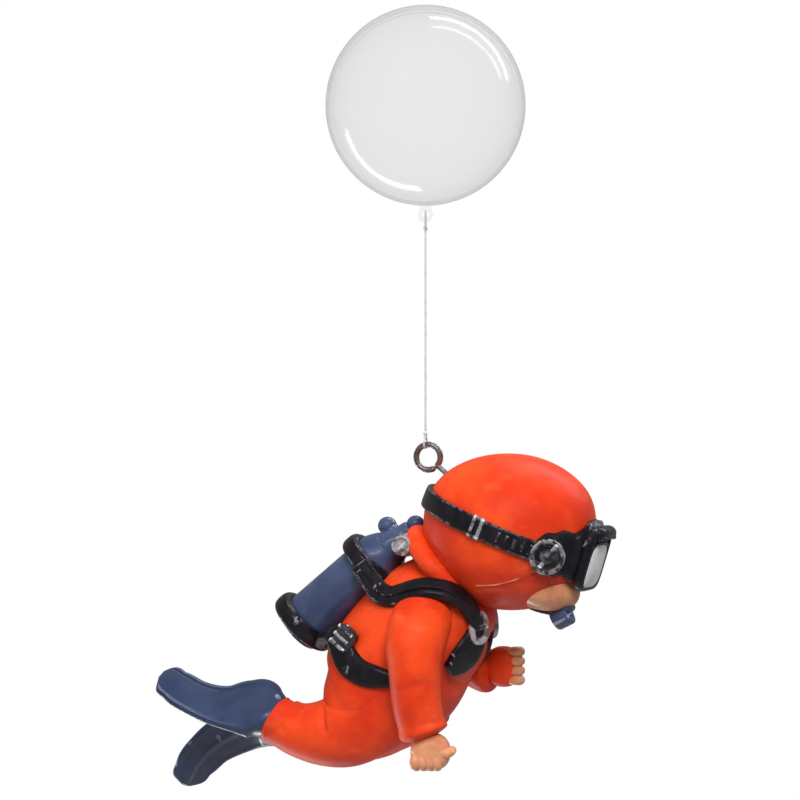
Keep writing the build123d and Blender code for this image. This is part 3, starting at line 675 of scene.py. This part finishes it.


# ---------------------------------------------------------------- swim fins
# Cast fins painted dark blue, with rails along both sides whose sharp rims get a pale painted highlight.
def fin_paint():
    """Dark blue paint: cloudy, with a lilac-white painted highlight on the rails and tips."""
    paint = Paint("fin_paint")
    cloud = paint.noise(260.0, 3.0)
    base = paint.mix(cloud.above(0.3, 0.7), (0.018, 0.032, 0.080), (0.030, 0.046, 0.102))
    # Painted highlight: lilac-white on sharp convex rims, broken up by noise.
    edge_highlight = paint.edges(0.525, 0.58) * paint.noise(900.0, 2.0) * 0.8
    base = paint.mix(edge_highlight, base, (0.42, 0.42, 0.56))
    grain = paint.noise(1700.0, 3.0)
    return paint.finish(Base_Color=base, Roughness=cloud * 0.15 + 0.26, Coat_Weight=0.35, Coat_Roughness=0.12,
                        Normal=paint.bump(grain, 0.2, 0.0001))


fin_blue = fin_paint()


def blade(ankle, route, roll, name, stands_for):
    """A fin through route rows of x and z from the ankle, half width and thickness.

    A ring of it is s = cos a across and h = sin a through. The upper face gets a rail near each
    edge, exp(-((|s| - 0.84) / 0.09) squared), over a hollow that is deepest in the middle, and
    the lower face a keel of the same kind along its middle.
    """
    rows = through([(ankle[0] + x, ankle[1], ankle[2] + z, wide, thick) for x, z, wide, thick in route], 90)
    path = rows[:, :3]
    along = np.gradient(path, axis=0)
    along /= np.linalg.norm(along, axis=1, keepdims=True)
    lean = math.radians(roll)
    side = np.array([0.0, -math.sin(lean), -math.cos(lean)])
    side = side - along * (along @ side)[:, None]
    side /= np.linalg.norm(side, axis=1, keepdims=True)
    up = np.cross(side, along)
    up *= np.sign(-roll * up[:, 1:2])
    a = np.linspace(0, 2 * np.pi, 96, endpoint=False)
    s, h = np.cos(a), np.sign(np.sin(a)) * np.abs(np.sin(a)) ** 0.6
    share = np.linspace(0, 1, len(rows))[:, None]
    foot = np.clip((share - 0.16) * 6, 0, 1)
    rail = 0.5 * np.exp(-((np.abs(s) - 0.84) / 0.09) ** 2) - 0.40 * (1 - s ** 2)
    keel = 0.5 * np.exp(-((s + 0.1) / 0.13) ** 2) + 0.3 * np.exp(-((np.abs(s) - 0.86) / 0.09) ** 2)
    fade = foot * np.clip((1.02 - share) * 9, 0, 1)
    height = rows[:, 4:5] / 2 * h + fade * (np.clip(h, 0, 1) * rail + np.clip(h, -1, 0) * keel)
    grid = (path[:, None] + (rows[:, 3:4] * s)[..., None] * side[:, None] + height[..., None] * up[:, None])
    return skin(name, grid, fin_blue, stands_for=stands_for)


right_ankle = neck + (-31.7, -4.75, -19.9)
left_ankle = neck + (-33.0, 4.75, -20.4)
blade(right_ankle, [(1.2, -0.4, 2.9, 5.6), (-0.4, 0.3, 3.8, 5.6), (-1.8, 0.9, 4.8, 3.9),
                    (-4.6, 1.2, 4.6, 2.0),
                    (-8.0, 1.2, 3.6, 1.3), (-12.4, 2.3, 3.0, 1.2), (-16.0, 4.1, 2.8, 1.2),
                    (-17.9, 5.4, 1.9, 1.0), (-18.4, 5.7, 0.7, 0.7)], 35, "right_swim_fin", ["right_fin"])
blade(left_ankle, [(1.2, -1.0, 2.2, 4.6), (-0.4, -1.2, 2.8, 4.6), (-2.4, -1.8, 3.6, 3.6),
                   (-5.6, -2.0, 4.4, 2.0),
                   (-9.0, -3.4, 4.2, 1.3), (-13.0, -5.9, 3.7, 1.2), (-15.8, -9.0, 3.4, 1.2),
                   (-17.0, -11.2, 2.3, 1.0), (-17.3, -11.8, 0.8, 0.7)], -35, "left_swim_fin", ["left_fin"])


# ---------------------------------------------------------------- air tank
# A bottle sunk into the back of the suit, painted grey-blue, with a lighter bloom along its side.
def tank_paint():
    """Grey-blue paint with long pale scuffs along the bottle, and a painted highlight on every sharp convex
    rim.
    """
    paint = Paint("tank_paint")
    cloud = paint.noise(150.0, 3.0)
    scuff = paint.noise(500.0, 4.0, stretch=(0.35, 1.0, 0.35))
    base = paint.mix(cloud.above(0.3, 0.7), (0.030, 0.046, 0.108), (0.052, 0.074, 0.150))
    base = paint.mix(scuff.above(0.56, 0.78) * 0.5, base, (0.12, 0.15, 0.25))
    # Painted highlight: paler along every sharp convex rim.
    base = paint.mix(paint.edges(0.53, 0.60) * 0.6, base, (0.34, 0.36, 0.50))
    grain = paint.noise(1600.0, 3.0)
    return paint.finish(Base_Color=base, Roughness=cloud * 0.2 + 0.26, Coat_Weight=0.35, Coat_Roughness=0.14,
                        Normal=paint.bump(grain + scuff, 0.2, 0.0001))


tank_blue = tank_paint()
pitch = math.radians(39.6)
tank_along = np.array([math.cos(pitch), 0.0, math.sin(pitch)])
tank_up = np.array([-math.sin(pitch), 0.0, math.cos(pitch)])
tank_foot = (neck + (-12.6, 0, -10.0) + tank_up * (10.0 + 4.1 - 1.0) - tank_along * (1.2 + 10.0))


def turned_on(origin, axis, profile, around=72, other=(0.0, 1.0, 0.0)):
    """A turned shape: each row of the profile is a distance along the axis and a radius."""
    profile = np.asarray(profile, float)
    axis = np.asarray(axis, float) / np.linalg.norm(axis)
    first = np.cross(axis, other)
    first /= np.linalg.norm(first)
    second = np.cross(axis, first)
    a = np.linspace(0, 2 * np.pi, around, endpoint=False)
    ring = np.cos(a)[:, None] * first + np.sin(a)[:, None] * second
    return np.asarray(origin, float) + profile[:, 0, None, None] * axis + profile[:, 1, None, None] * ring


def rounded_profile(corners, radius, steps=7):
    """A profile whose corners are rounded: each is swapped for a quadratic curve between two cuts."""
    corners = np.asarray(corners, float)
    out = [corners[:1]]
    f = np.linspace(0, 1, steps)[:, None]
    for before, corner, after in zip(corners[:-2], corners[1:-1], corners[2:]):
        a, b = before - corner, after - corner
        a = a / np.linalg.norm(a) * min(radius, np.linalg.norm(a) / 2)
        b = b / np.linalg.norm(b) * min(radius, np.linalg.norm(b) / 2)
        out.append(corner + (1 - f) ** 2 * a + f ** 2 * b)
    out.append(corners[-1:])
    return np.concatenate(out)


bottle = rounded_profile([(-0.1, 0.05), (-0.1, 3.4), (0.2, 4.1), (17.6, 4.1), (19.4, 3.3), (20.0, 2.9),
                          (20.1, 0.05)], 0.9)
dense = np.linspace(0.6, 16.6, 40)
bottle = np.vstack([bottle[bottle[:, 0] < 0.6], np.stack([dense, np.full(40, 4.1)], -1),
                    bottle[bottle[:, 0] > 16.6]])
skin("air_bottle", turned_on(tank_foot, tank_along, bottle, 110), tank_blue,
     stands_for=["tank"])

tank_top = tank_foot + tank_along * 20.0
outlet = turned_on(tank_top + tank_up * 0.1 - tank_along * 0.6, tank_along + 0.05 * tank_up,
                   rounded_profile([(0, 0.05), (0, 3.0), (2.4, 2.3), (3.4, 1.6), (5.0, 1.35),
                                    (5.0, 0.05)], 0.7))
arm = turned_on(tank_top - tank_up * 1.6 + tank_along * 1.6, tank_up,
                rounded_profile([(0, 0.05), (0, 1.3), (4.2, 1.2), (4.6, 0.05)], 0.5))
skin("valve_body", [outlet, arm], tank_blue, stands_for=["tank_valve"])
skin("valve_top_cap", blob(tank_top + tank_up * 3.0 + tank_along * 1.5, (2.9, 2.7, 2.7), rows=40, columns=48),
     tank_blue, stands_for=["valve_cap"])
skin("valve_outlet_cap",
     blob(tank_top + tank_up * 0.4 + tank_along * 5.2, (2.7, 2.7, 2.5), rows=40, columns=48),
     tank_blue, stands_for=["valve_outlet"])


def silver_paint():
    """Silver paint, rubbed through to a brown undercoat in patches, with a near-white painted highlight on
    every sharp convex rim.
    """
    paint = Paint("silver_paint")
    patch = paint.noise(700.0, 4.0)
    base = paint.mix(patch.above(0.48, 0.62), (0.46, 0.42, 0.44), (0.125, 0.065, 0.07))
    # Painted highlight: near-white along every sharp convex rim.
    base = paint.mix(paint.edges(0.52, 0.58), base, (0.78, 0.78, 0.82))
    return paint.finish(Base_Color=base, Metallic=0.45, Roughness=patch * 0.3 + 0.25,
                        Normal=paint.bump(patch, 0.4, 0.00015))


silver = silver_paint()
knob_low, knob_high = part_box("valve_knob")
knob_mid = 500 * (np.array(knob_low) + np.array(knob_high))
knob_face = np.array([knob_mid[0], 1000 * knob_low.y - 0.1, knob_mid[2]])
knob = turned_on(knob_face, (0, 1, 0), rounded_profile(
    [(0.35, 0.05), (0.35, 1.0), (0.0, 1.15), (0.0, 1.5), (1.0, 1.55), (1.0, 1.35), (4.6, 1.35),
     (4.6, 0.05)], 0.2),
    64, (1.0, 0.0, 0.0))
rim = turned_on(knob_face + (0, 2.0, 0), (0, 1, 0), rounded_profile(
    [(0, 0.05), (0, 1.75), (0.55, 1.75), (0.55, 0.05)], 0.15), 64, (1.0, 0.0, 0.0))
skin("valve_wheel", [knob, rim], silver, stands_for=["valve_knob"])


# ---------------------------------------------------------------- harness: bands and straps
# Rubber-like bands hold the bottle, and straps run from them over the shoulders and round the waist.
# All of it is cast with the figure and painted glossy near-black.
def strap_paint():
    """Near-black glossy paint with a purple cast and a thin silver painted highlight on ridges."""
    paint = Paint("strap_paint")
    cloud = paint.noise(500.0, 4.0)
    base = paint.mix(cloud.above(0.40, 0.70), (0.0035, 0.003, 0.0055), (0.011, 0.008, 0.012))
    # Painted highlight: silver on sharp ridges, in broken patches.
    edge_highlight = paint.edges(0.525, 0.58) * paint.noise(1300.0, 2.0).above(0.42, 0.58)
    base = paint.mix(edge_highlight * 0.6, base, (0.30, 0.28, 0.32))
    grain = paint.noise(1500.0, 3.0)
    return paint.finish(Base_Color=base, Roughness=cloud * 0.25 + 0.26, Coat_Weight=0.25, Coat_Roughness=0.08,
                        Specular_IOR_Level=0.25, Normal=paint.bump(grain + cloud, 0.3, 0.00012))


strap_black = strap_paint()


def loop_tube(path, radius, around=20, side=(0.0, 1.0, 0.0), flat=1.0, power=2.0):
    """A tube along a closed path. The last row repeats the first, so the tube shuts on itself."""
    path = np.asarray(path, float)
    along = np.roll(path, -1, 0) - np.roll(path, 1, 0)
    along /= np.linalg.norm(along, axis=1, keepdims=True)
    side = np.broadcast_to(np.asarray(side, float), path.shape)
    across = side - along * (along * side).sum(-1, keepdims=True)
    across /= np.linalg.norm(across, axis=1, keepdims=True)
    up = np.cross(along, across)
    a = np.linspace(0, 2 * np.pi, around, endpoint=False)
    c = np.sign(np.cos(a)) * np.abs(np.cos(a)) ** (2 / power)
    s = np.sign(np.sin(a)) * np.abs(np.sin(a)) ** (2 / power)
    grid = path[:, None] + radius * (c[None, :, None] * across[:, None]
                                     + flat * s[None, :, None] * up[:, None])
    return np.concatenate([grid, grid[:1]], 0)


def band(at, tilt, name, stands_for):
    """A band round the bottle, its plane leaned back by the tilt, with a ridge along one edge."""
    a = np.linspace(0, 2 * np.pi, 120, endpoint=False)[:, None]
    middle = tank_foot + tank_along * at
    lean = math.tan(math.radians(tilt))
    path = middle + 4.5 * (np.cos(a) * tank_up + np.sin(a) * np.array([0.0, 1.0, 0.0])
                           - np.cos(a) * lean * tank_along)
    side = np.broadcast_to(tank_along, path.shape)
    main = loop_tube(path, 1.3, 24, side, 0.74, 3.0)
    ridge = loop_tube(path + 1.0 * tank_along, 0.42, 14, side)
    skin(name, [main, ridge], strap_black, caps=False, stands_for=stands_for)


band(16.3, 8.0, "upper_band", ["upper_tank_band"])
band(1.9, 6.0, "lower_band", ["lower_tank_band"])


def laid_strap(route, half, thick, bow=3.0, core=(-9.8, 0.0, -7.4), count=90, around=28):
    """A strap over the body: a flat tube whose broad face looks away from the core of the trunk."""
    rows = through([(*(neck + p), 1, 1) for p in route], count)[:, :3]
    along = np.gradient(rows, axis=0)
    along /= np.linalg.norm(along, axis=1, keepdims=True)
    outward = rows - (neck + np.asarray(core, float))
    side = np.cross(along, outward)
    half = np.interp(np.linspace(0, 1, count), np.linspace(0, 1, len(half)), half)
    thick = np.broadcast_to(thick, (count,))
    return tube(rows, half, around, side, thick / half, bow)


SHOULDER = [(-17.4, -5.0, 3.2), (-15.6, -5.7, 1.2), (-13.8, -6.6, -0.6), (-11.8, -7.7, -1.2),
            (-9.8, -8.4, -0.7), (-7.4, -8.9, 0.0), (-5.0, -8.9, 0.3), (-2.6, -8.5, -0.1),
            (-0.7, -7.6, -1.3), (0.3, -5.9, -3.1), (0.7, -4.4, -5.0)]
TAIL = [(0.7, -4.1, -6.0), (0.1, -4.4, -8.0), (-0.7, -4.9, -9.6), (-1.9, -5.6, -11.0), (-3.1, -6.3, -12.0)]
WAIST = [(-24.6, -2.6, -8.4), (-22.6, -5.4, -7.3), (-20.4, -7.4, -7.2), (-19.2, -8.2, -8.8),
         (-17.9, -8.7, -10.8), (-15.6, -9.3, -12.4), (-12.8, -9.6, -13.0), (-9.8, -9.5, -13.4)]


def buckle_paint():
    """Near-black glossy paint with silver painted glints on every raised rim."""
    paint = Paint("buckle_paint")
    cloud = paint.noise(600.0, 4.0)
    base = paint.mix(cloud.above(0.42, 0.70), (0.008, 0.0075, 0.012), (0.045, 0.038, 0.045))
    # Painted glints: silver on sharp raised rims, in broken patches.
    edge_highlight = paint.edges(0.515, 0.57) * paint.noise(1000.0, 3.0).above(0.40, 0.56)
    base = paint.mix(edge_highlight * 0.95, base, (0.80, 0.80, 0.84))
    return paint.finish(Base_Color=base, Roughness=cloud * 0.25 + 0.22, Coat_Weight=0.5, Coat_Roughness=0.08,
                        Normal=paint.bump(cloud, 0.4, 0.00015))


buckle_black = buckle_paint()


def oval_buckle(centre, normal, up, size, wire):
    """An oval ring with a bar across it, lying on the strap."""
    normal = np.asarray(normal, float) / np.linalg.norm(normal)
    up = np.asarray(up, float) - normal * (normal @ np.asarray(up, float))
    up /= np.linalg.norm(up)
    across = np.cross(up, normal)
    a = np.linspace(0, 2 * np.pi, 72, endpoint=False)[:, None]
    c = np.sign(np.cos(a)) * np.abs(np.cos(a)) ** 0.75
    s = np.sign(np.sin(a)) * np.abs(np.sin(a)) ** 0.75
    path = centre + c * across * size[0] / 2 + s * up * size[1] / 2
    ring_grid = loop_tube(path, wire, 16, normal)
    t = np.linspace(-0.5, 0.5, 24)[:, None]
    bar = tube(centre + t * across * size[0] + normal * 0.15, wire * 0.8, 14, up)
    plate = tube(centre + np.linspace(-0.46, 0.46, 12)[:, None] * up * size[1] - normal * 0.35,
                 size[0] * 0.42, 20,
                 across, 0.3, 3.0)
    return ring_grid, bar, plate


for mirror_y, label in ((1, "right"), (-1, "left")):
    flip = np.array([1.0, mirror_y, 1.0])
    around = np.zeros(3) if mirror_y > 0 else np.array((-2.0, 2.6, 0.0))
    route = [np.array(p) * flip + around * near for p, near in zip(SHOULDER, (*[0] * 8, 0.25, 0.65, 1.0))]
    tail = [np.array(p) * flip + around for p in TAIL]
    over = laid_strap(route, (1.5, 1.7, 1.75, 1.7, 1.5), 0.85)
    lower_roll = laid_strap([p + np.array((0.1, -0.75 * mirror_y, -0.9)) for p in route],
                            (0.55, 0.6, 0.6, 0.55), 0.55)
    crest = laid_strap([p + np.array((0.1, -0.95 * mirror_y, 0.15)) for p in route[2:]],
                       (0.20, 0.24, 0.22), 0.45)
    end = laid_strap(tail, (1.7, 2.4, 2.6, 2.3, 1.2), 0.75)
    skin(f"{label}_shoulder_webbing", [over, lower_roll, crest, end], strap_black,
         stands_for=[f"{label}_shoulder_strap"])
    waist_half = (1.3, 1.3, 1.9, 2.1, 1.8, 1.0)
    round_waist = laid_strap([np.array(p) * flip for p in WAIST], waist_half, 0.9, core=(-17.0, 0.0, -13.0))
    skin(f"{label}_waist_webbing", round_waist, strap_black,
         stands_for=[f"{label}_waist_strap"])
    buckle_at = neck + np.array((0.6, -4.2, -5.7)) * flip + around
    ring_grid, bar, plate = oval_buckle(
        buckle_at + np.array((0.5, -0.35, 0)) * flip,
        np.array((0.85, -0.5, 0.0)) * flip + around * (0.1, 0.1, 0),
        (-0.15, 0, 1), (2.7, 4.1), 0.5)
    skin(f"{label}_chest_plate", [bar, plate], buckle_black,
         stands_for=[f"{label}_chest_buckle"])
    skin(f"{label}_chest_ring", ring_grid, silver, caps=False)
    slide_at = neck + np.array((-18.5, -8.5, -7.6)) * flip
    out = np.array((-0.45, -0.85, 0.25)) * flip
    block = blob(slide_at, (3.6, 1.7, 4.0), 35, 4.5, 40, 64, -18 * mirror_y)
    ups = np.array((0.55, 0, 0.8))
    along_block = np.array((0.8, -0.3, -0.55)) * flip
    bars = [tube(slide_at + out * 0.75 + ups * k + np.linspace(-1.5, 1.5, 20)[:, None] * along_block,
                 0.33, 14, ups)
            for k in (-1.35, 0.0, 1.35)]
    skin(f"{label}_waist_slide", [block, *bars], buckle_black, stands_for=[f"{label}_waist_slider"])


# ---------------------------------------------------------------- diving mask
# A black skirt pleats out from the hood to a frame with a rolled lip, round a white painted lens.
mask_tilt = math.radians(17.0)
mask_ahead = np.array([math.cos(mask_tilt), 0.0, -math.sin(mask_tilt)])
mask_above = np.array([math.sin(mask_tilt), 0.0, math.cos(mask_tilt)])
mask_front = 14.3


def on_mask(ahead, above, across=0.0):
    """A place on the mask, in its own directions from the middle of the head."""
    return head + mask_ahead * ahead + mask_above * above + np.array([0.0, across, 0.0])


ahead = np.array([7.1, 8.6, 9.8, 10.8, 11.8, 12.8, 13.4])
rows = through([(*on_mask(x, 0.2 + 0.6 * k / 6), h, w) for k, (x, h, w) in enumerate(
    zip(ahead, (5.6, 7.2, 8.2, 8.4, 8.8, 9.8, 10.3), (18.4, 17.6, 15.6, 12.8, 10.6, 9.4, 9.2)))], 60)
skirt = tube(rows[:, :3], rows[:, 4] / 2, 140, (0, 1, 0), rows[:, 3] / rows[:, 4], 3.0)
t = np.linspace(0, 1, 60)[:, None]
a = np.linspace(0, 2 * np.pi, 140, endpoint=False)[None, :]
pleat = (0.14 + 0.30 * np.sin(5 * a + 0.6) * np.sin(np.pi * t)
         + 0.22 * np.sin(5.5 * t * np.pi + 1.2 * np.sin(2 * a)))
outward = skirt - rows[:, None, :3]
outward /= np.linalg.norm(outward, axis=-1, keepdims=True)
skirt = skirt + outward * pleat[..., None]
skin("mask_seal", skirt, strap_black, stands_for=["mask_skirt"])


def rounded_frame(ahead, above, width, height, power, count=96):
    """A closed superellipse path across the mask."""
    a = np.linspace(0, 2 * np.pi, count, endpoint=False)
    c = np.sign(np.cos(a)) * np.abs(np.cos(a)) ** (2 / power)
    s = np.sign(np.sin(a)) * np.abs(np.sin(a)) ** (2 / power)
    return (on_mask(ahead, above) + c[:, None] * width / 2 * np.array([0.0, 1.0, 0.0])
            + s[:, None] * height / 2 * mask_above)


frame_ring = loop_tube(rounded_frame(mask_front - 0.85, 0.2, 8.9, 8.7, 4.5), 0.8, 20, mask_ahead, 0.8)
window_ring = loop_tube(rounded_frame(mask_front - 0.30, -0.8, 8.4, 6.9, 4.5), 0.3, 16, mask_ahead)
x = np.linspace(-3.6, 3.6, 60)
lip_path = (on_mask(mask_front - 0.3, 4.0) + np.stack([0 * x, x, 0 * x], -1)
            + (1 - (x / 3.6) ** 2)[:, None] * (0.5 * mask_above + 0.3 * mask_ahead))
lip = tube(lip_path, 1.05 * np.sqrt(np.clip(1 - (x / 3.62) ** 8, 0.02, 1)), 26, mask_ahead)
brim = tube(lip_path + 0.75 * mask_ahead - 0.35 * mask_above,
            0.4 * np.sqrt(np.clip(1 - (x / 3.62) ** 8, 0.02, 1)),
            16, mask_ahead)
plate = tube(on_mask(0, 0.1) + mask_ahead * np.linspace(mask_front - 1.1, mask_front - 0.45, 8)[:, None],
             4.3, 96,
             (0, 1, 0), 1.0, 4.0)
skin("mask_rim", [frame_ring, window_ring], strap_black, caps=False, stands_for=["mask_frame"])
skin("mask_lip", [lip, brim, plate], strap_black)


def lens_paint():
    """White glossy paint with faint blue-grey streaks."""
    paint = Paint("lens_paint")
    streak = paint.noise(500.0, 3.0, stretch=(1.0, 0.4, 0.5))
    base = paint.mix(streak.above(0.46, 0.72), (0.92, 0.92, 0.91), (0.74, 0.75, 0.79))
    return paint.finish(Base_Color=base, Roughness=streak * 0.1 + 0.10, Coat_Weight=0.7, Coat_Roughness=0.04,
                        Normal=paint.bump(streak, 0.1, 0.0001))


t = np.linspace(0, 1, 20)[:, None]
a = np.linspace(0, 2 * np.pi, 96, endpoint=False)[None, :]
c = np.sign(np.cos(a)) * np.abs(np.cos(a)) ** 0.5
s = np.sign(np.sin(a)) * np.abs(np.sin(a)) ** 0.5
shrink = np.cos(t * np.pi / 2 * 0.98)
lens = (on_mask(mask_front - 0.3, -0.8) + (shrink * c)[..., None] * 4.15 * np.array([0.0, 1.0, 0.0])
        + (shrink * s)[..., None] * 3.4 * mask_above
        + (0.6 * np.sin(t * np.pi / 2) + 0 * a)[..., None] * mask_ahead)
skin("mask_glass", lens, lens_paint(), stands_for=["mask_lens"])


# ---------------------------------------------------------------- mask strap
# A flat strap round the back of the hood, with a slider and a round buckle on each side.
strap_tilt = math.radians(22.0)
strap_above = np.array([math.sin(strap_tilt), 0.0, math.cos(strap_tilt)])


turn_round = np.linspace(42, 318, 180)
path, way = on_hood(turn_round, 0.0, 0.15)
back_bulge = np.exp(-((turn_round - 180) / 30) ** 2)
path = path + way * (0.55 * back_bulge)[:, None]
strap_band = tube(path, 1.42, 32, strap_above, 0.42, 5.0)
edge_high = tube(path + strap_above * 1.3 + way * 0.35, 0.2, 10, strap_above)
edge_low = tube(path - strap_above * 1.3 + way * 0.35, 0.2, 10, strap_above)
ribs = []
for angle in (-56, -62, -68, -74, -80, 56, 62, 68, 74, 80):
    place, way_out = on_hood(angle, 0.0, 0.55)
    rib = tube(place + np.linspace(-0.75, 0.75, 14)[:, None] * strap_above, 0.34, 12, way_out[0], 0.8, 3.0)
    ribs.append(rib)
skin("head_strap", [strap_band, edge_high, edge_low, *ribs], strap_black, stands_for=["mask_strap"])

for side_y, label in ((-1, "right"), (1, "left")):
    place, way_out = on_hood(side_y * 99, 0.0, 0.55)
    along_strap = np.cross(strap_above, way_out[0])
    posts = [tube(place + along_strap * k + np.linspace(-1.5, 1.5, 20)[:, None] * strap_above,
                  0.34, 14, way_out[0])
             for k in (-0.65, 0.65)]
    cross = [tube(place + strap_above * k + np.linspace(-0.8, 0.8, 14)[:, None] * along_strap,
                  0.30, 14, way_out[0])
             for k in (-1.4, 1.4)]
    skin(f"{label}_slide", posts + cross, buckle_black,
         stands_for=[f"{label}_mask_slider"])
    place, way_out = on_hood(side_y * 42, -1.0, 0.0)
    disc_axis = np.array([0.42, side_y * 0.90, -0.12])
    seat = place[0] - disc_axis * 0.2
    disc = turned_on(seat, disc_axis,
                     rounded_profile([(-0.6, 0.05), (-0.6, 2.45), (0.9, 2.4), (0.9, 0.05)], 0.3), 90)
    a = np.linspace(0, 2 * np.pi, 90, endpoint=False)[:, None]
    one = np.cross(disc_axis, (0, 0, 1.0))
    one /= np.linalg.norm(one)
    two = np.cross(disc_axis, one)
    two /= np.linalg.norm(two)
    wheel = loop_tube(seat + disc_axis * 1.05 + 2.25 * (np.cos(a) * one + np.sin(a) * two),
                      0.42, 16, disc_axis)
    hub = blob(seat + disc_axis * 0.9, (2.4, 2.4, 2.4), rows=24, columns=32)
    lever = tube(seat + disc_axis * 1.25 + np.linspace(-2.3, 1.9, 24)[:, None] * (0.6 * one + 0.8 * two),
                 0.36, 14,
                 disc_axis)
    clip = skin(f"{label}_round_buckle", [disc, hub, lever], buckle_black,
                stands_for=[f"{label}_strap_clip"])
    skin(f"{label}_buckle_rim", wheel, buckle_black, caps=False)


# ---------------------------------------------------------------- breathing set
# The mouthpiece and the round regulator under it, dark blue, with a hose back under the hood.
lips_at = head + (0.375 * head_long - 0.6, 0, -0.445 * head_high + 0.2)
lips = [blob(lips_at + (0.1, 0, 0.35), (2.6, 4.4, 1.5), 20, 2.4, 40, 60),
        blob(lips_at + (-0.1, 0, -0.75), (2.6, 4.0, 1.5), 20, 2.4, 40, 60)]
skin("breathing_mouthpiece", lips, fin_blue, stands_for=["mouthpiece"])
cup_at = head + (0.35 * head_long - 0.7, 0, -0.545 * head_high + 0.2)
cup_axis = np.array([math.sin(math.radians(60)), 0.0, math.cos(math.radians(60))])
cup = turned_on(cup_at, cup_axis, rounded_profile(
    [(-1.4, 0.05), (-1.4, 1.6), (1.3, 1.75), (1.45, 1.3), (1.45, 0.8), (1.7, 0.75), (1.7, 0.05)], 0.55), 80)
skin("regulator", cup, tank_blue, stands_for=["regulator_cup"])
hose_rows = through([(*(cup_at + p), 1, 1) for p in ((-0.6, 0.8, 0.4), (-2.9, 3.0, 0.6), (-6.2, 6.2, 0.9),
                                                      (-10.6, 8.6, 2.2), (-15.0, 9.2, 4.4))], 90)[:, :3]
hose_ring = 0.58 + 0.05 * np.sin(np.linspace(0, 2 * np.pi * 26, 90))
skin("breathing_hose", tube(hose_rows, hose_ring, 24, (0, 0, 1)), strap_black, stands_for=["regulator_hose"])


# ---------------------------------------------------------------- floor and light
# A pale floor that fades out before its edge, and soft lamps round the ornament.
def floor_paint():
    """Matt white that fades to nothing toward its edge, by the distance from the middle."""
    paint = Paint("pale_floor")
    away = paint.node("ShaderNodeVectorMath", {"operation": "LENGTH"}, {0: paint.place}, result=1)
    return paint.finish(Base_Color=(0.93, 0.93, 0.93), Roughness=0.9, Alpha=1 - away.above(0.05, 0.15))


bpy.ops.mesh.primitive_circle_add(vertices=96, radius=0.36, fill_type="NGON",
                                  location=(0.0, 0.0, 0.0))
floor = bpy.context.object
floor.name = "floor"
floor.data.transform(Matrix.Translation((-0.004, 0.0, cad_low.z - 0.012)))
floor.data.materials.append(floor_paint())

world = bpy.data.worlds.new("studio")
bpy.context.scene.world = world
world.use_nodes = True
sky = world.node_tree.nodes["Background"]
sky.inputs[0].default_value = (1.0, 1.0, 1.0, 1.0)
seen = world.node_tree.nodes.new("ShaderNodeLightPath")
level = world.node_tree.nodes.new("ShaderNodeMapRange")
level.inputs["To Min"].default_value = 0.26
level.inputs["To Max"].default_value = 1.0
world.node_tree.links.new(seen.outputs["Is Camera Ray"], level.inputs["Value"])
world.node_tree.links.new(level.outputs[0], sky.inputs[1])


def lamp(name, where, size, power, mirrored=True, toward=aim, upright=None):
    """A soft rectangular lamp that faces a place, seen in gloss if mirrored.

    upright is the direction its second side is turned to, when that matters.
    """
    light = bpy.data.lights.new(name, "AREA")
    light.shape = "RECTANGLE"
    light.size, light.size_y = size
    light.energy = power
    stand = bpy.data.objects.new(name, light)
    bpy.context.scene.collection.objects.link(stand)
    stand.location = where
    stand.visible_glossy = mirrored
    stand.rotation_mode = "QUATERNION"
    stand.rotation_quaternion = (toward - Vector(where)).to_track_quat("-Z", "Y")
    if upright is not None:
        ahead_of_lamp = (toward - Vector(where)).normalized()
        along_y = (upright - ahead_of_lamp * upright.dot(ahead_of_lamp)).normalized()
        along_x = along_y.cross(-ahead_of_lamp)
        stand.rotation_quaternion = Matrix((along_x, along_y, -ahead_of_lamp)).transposed().to_quaternion()
    return stand


lamp("key_lamp", (0.22, -0.38, 0.26), (0.22, 0.22), 2.6, mirrored=False)
lamp("fill_lamp", (-0.38, -0.30, 0.02), (0.30, 0.30), 0.5, mirrored=False)
lamp("top_lamp", (0.02, -0.02, 0.45), (0.30, 0.20), 1.5, mirrored=False)
lamp("front_strip", (0.02, -0.40, 0.20), (0.30, 0.05), 0.4)

# Two curtains of light behind the float make the bright crescents near its edge.
beside = Vector((math.cos(turn), math.sin(turn), 0.0))
for name, bearing, power in (("right_strip", 53.0, 0.7), ("left_strip", 231.0, 0.6)):
    round_edge = math.radians(bearing)
    spoke = math.cos(round_edge) * beside + math.sin(round_edge) * Vector((0.0, 0.0, 1.0))
    away = math.radians(116.0)
    place = 0.35 * (math.cos(away) * back + math.sin(away) * spoke)
    lamp(name, place, (0.024, 0.42), power, toward=Vector((0.0, 0.0, 0.0)), upright=back.cross(spoke))
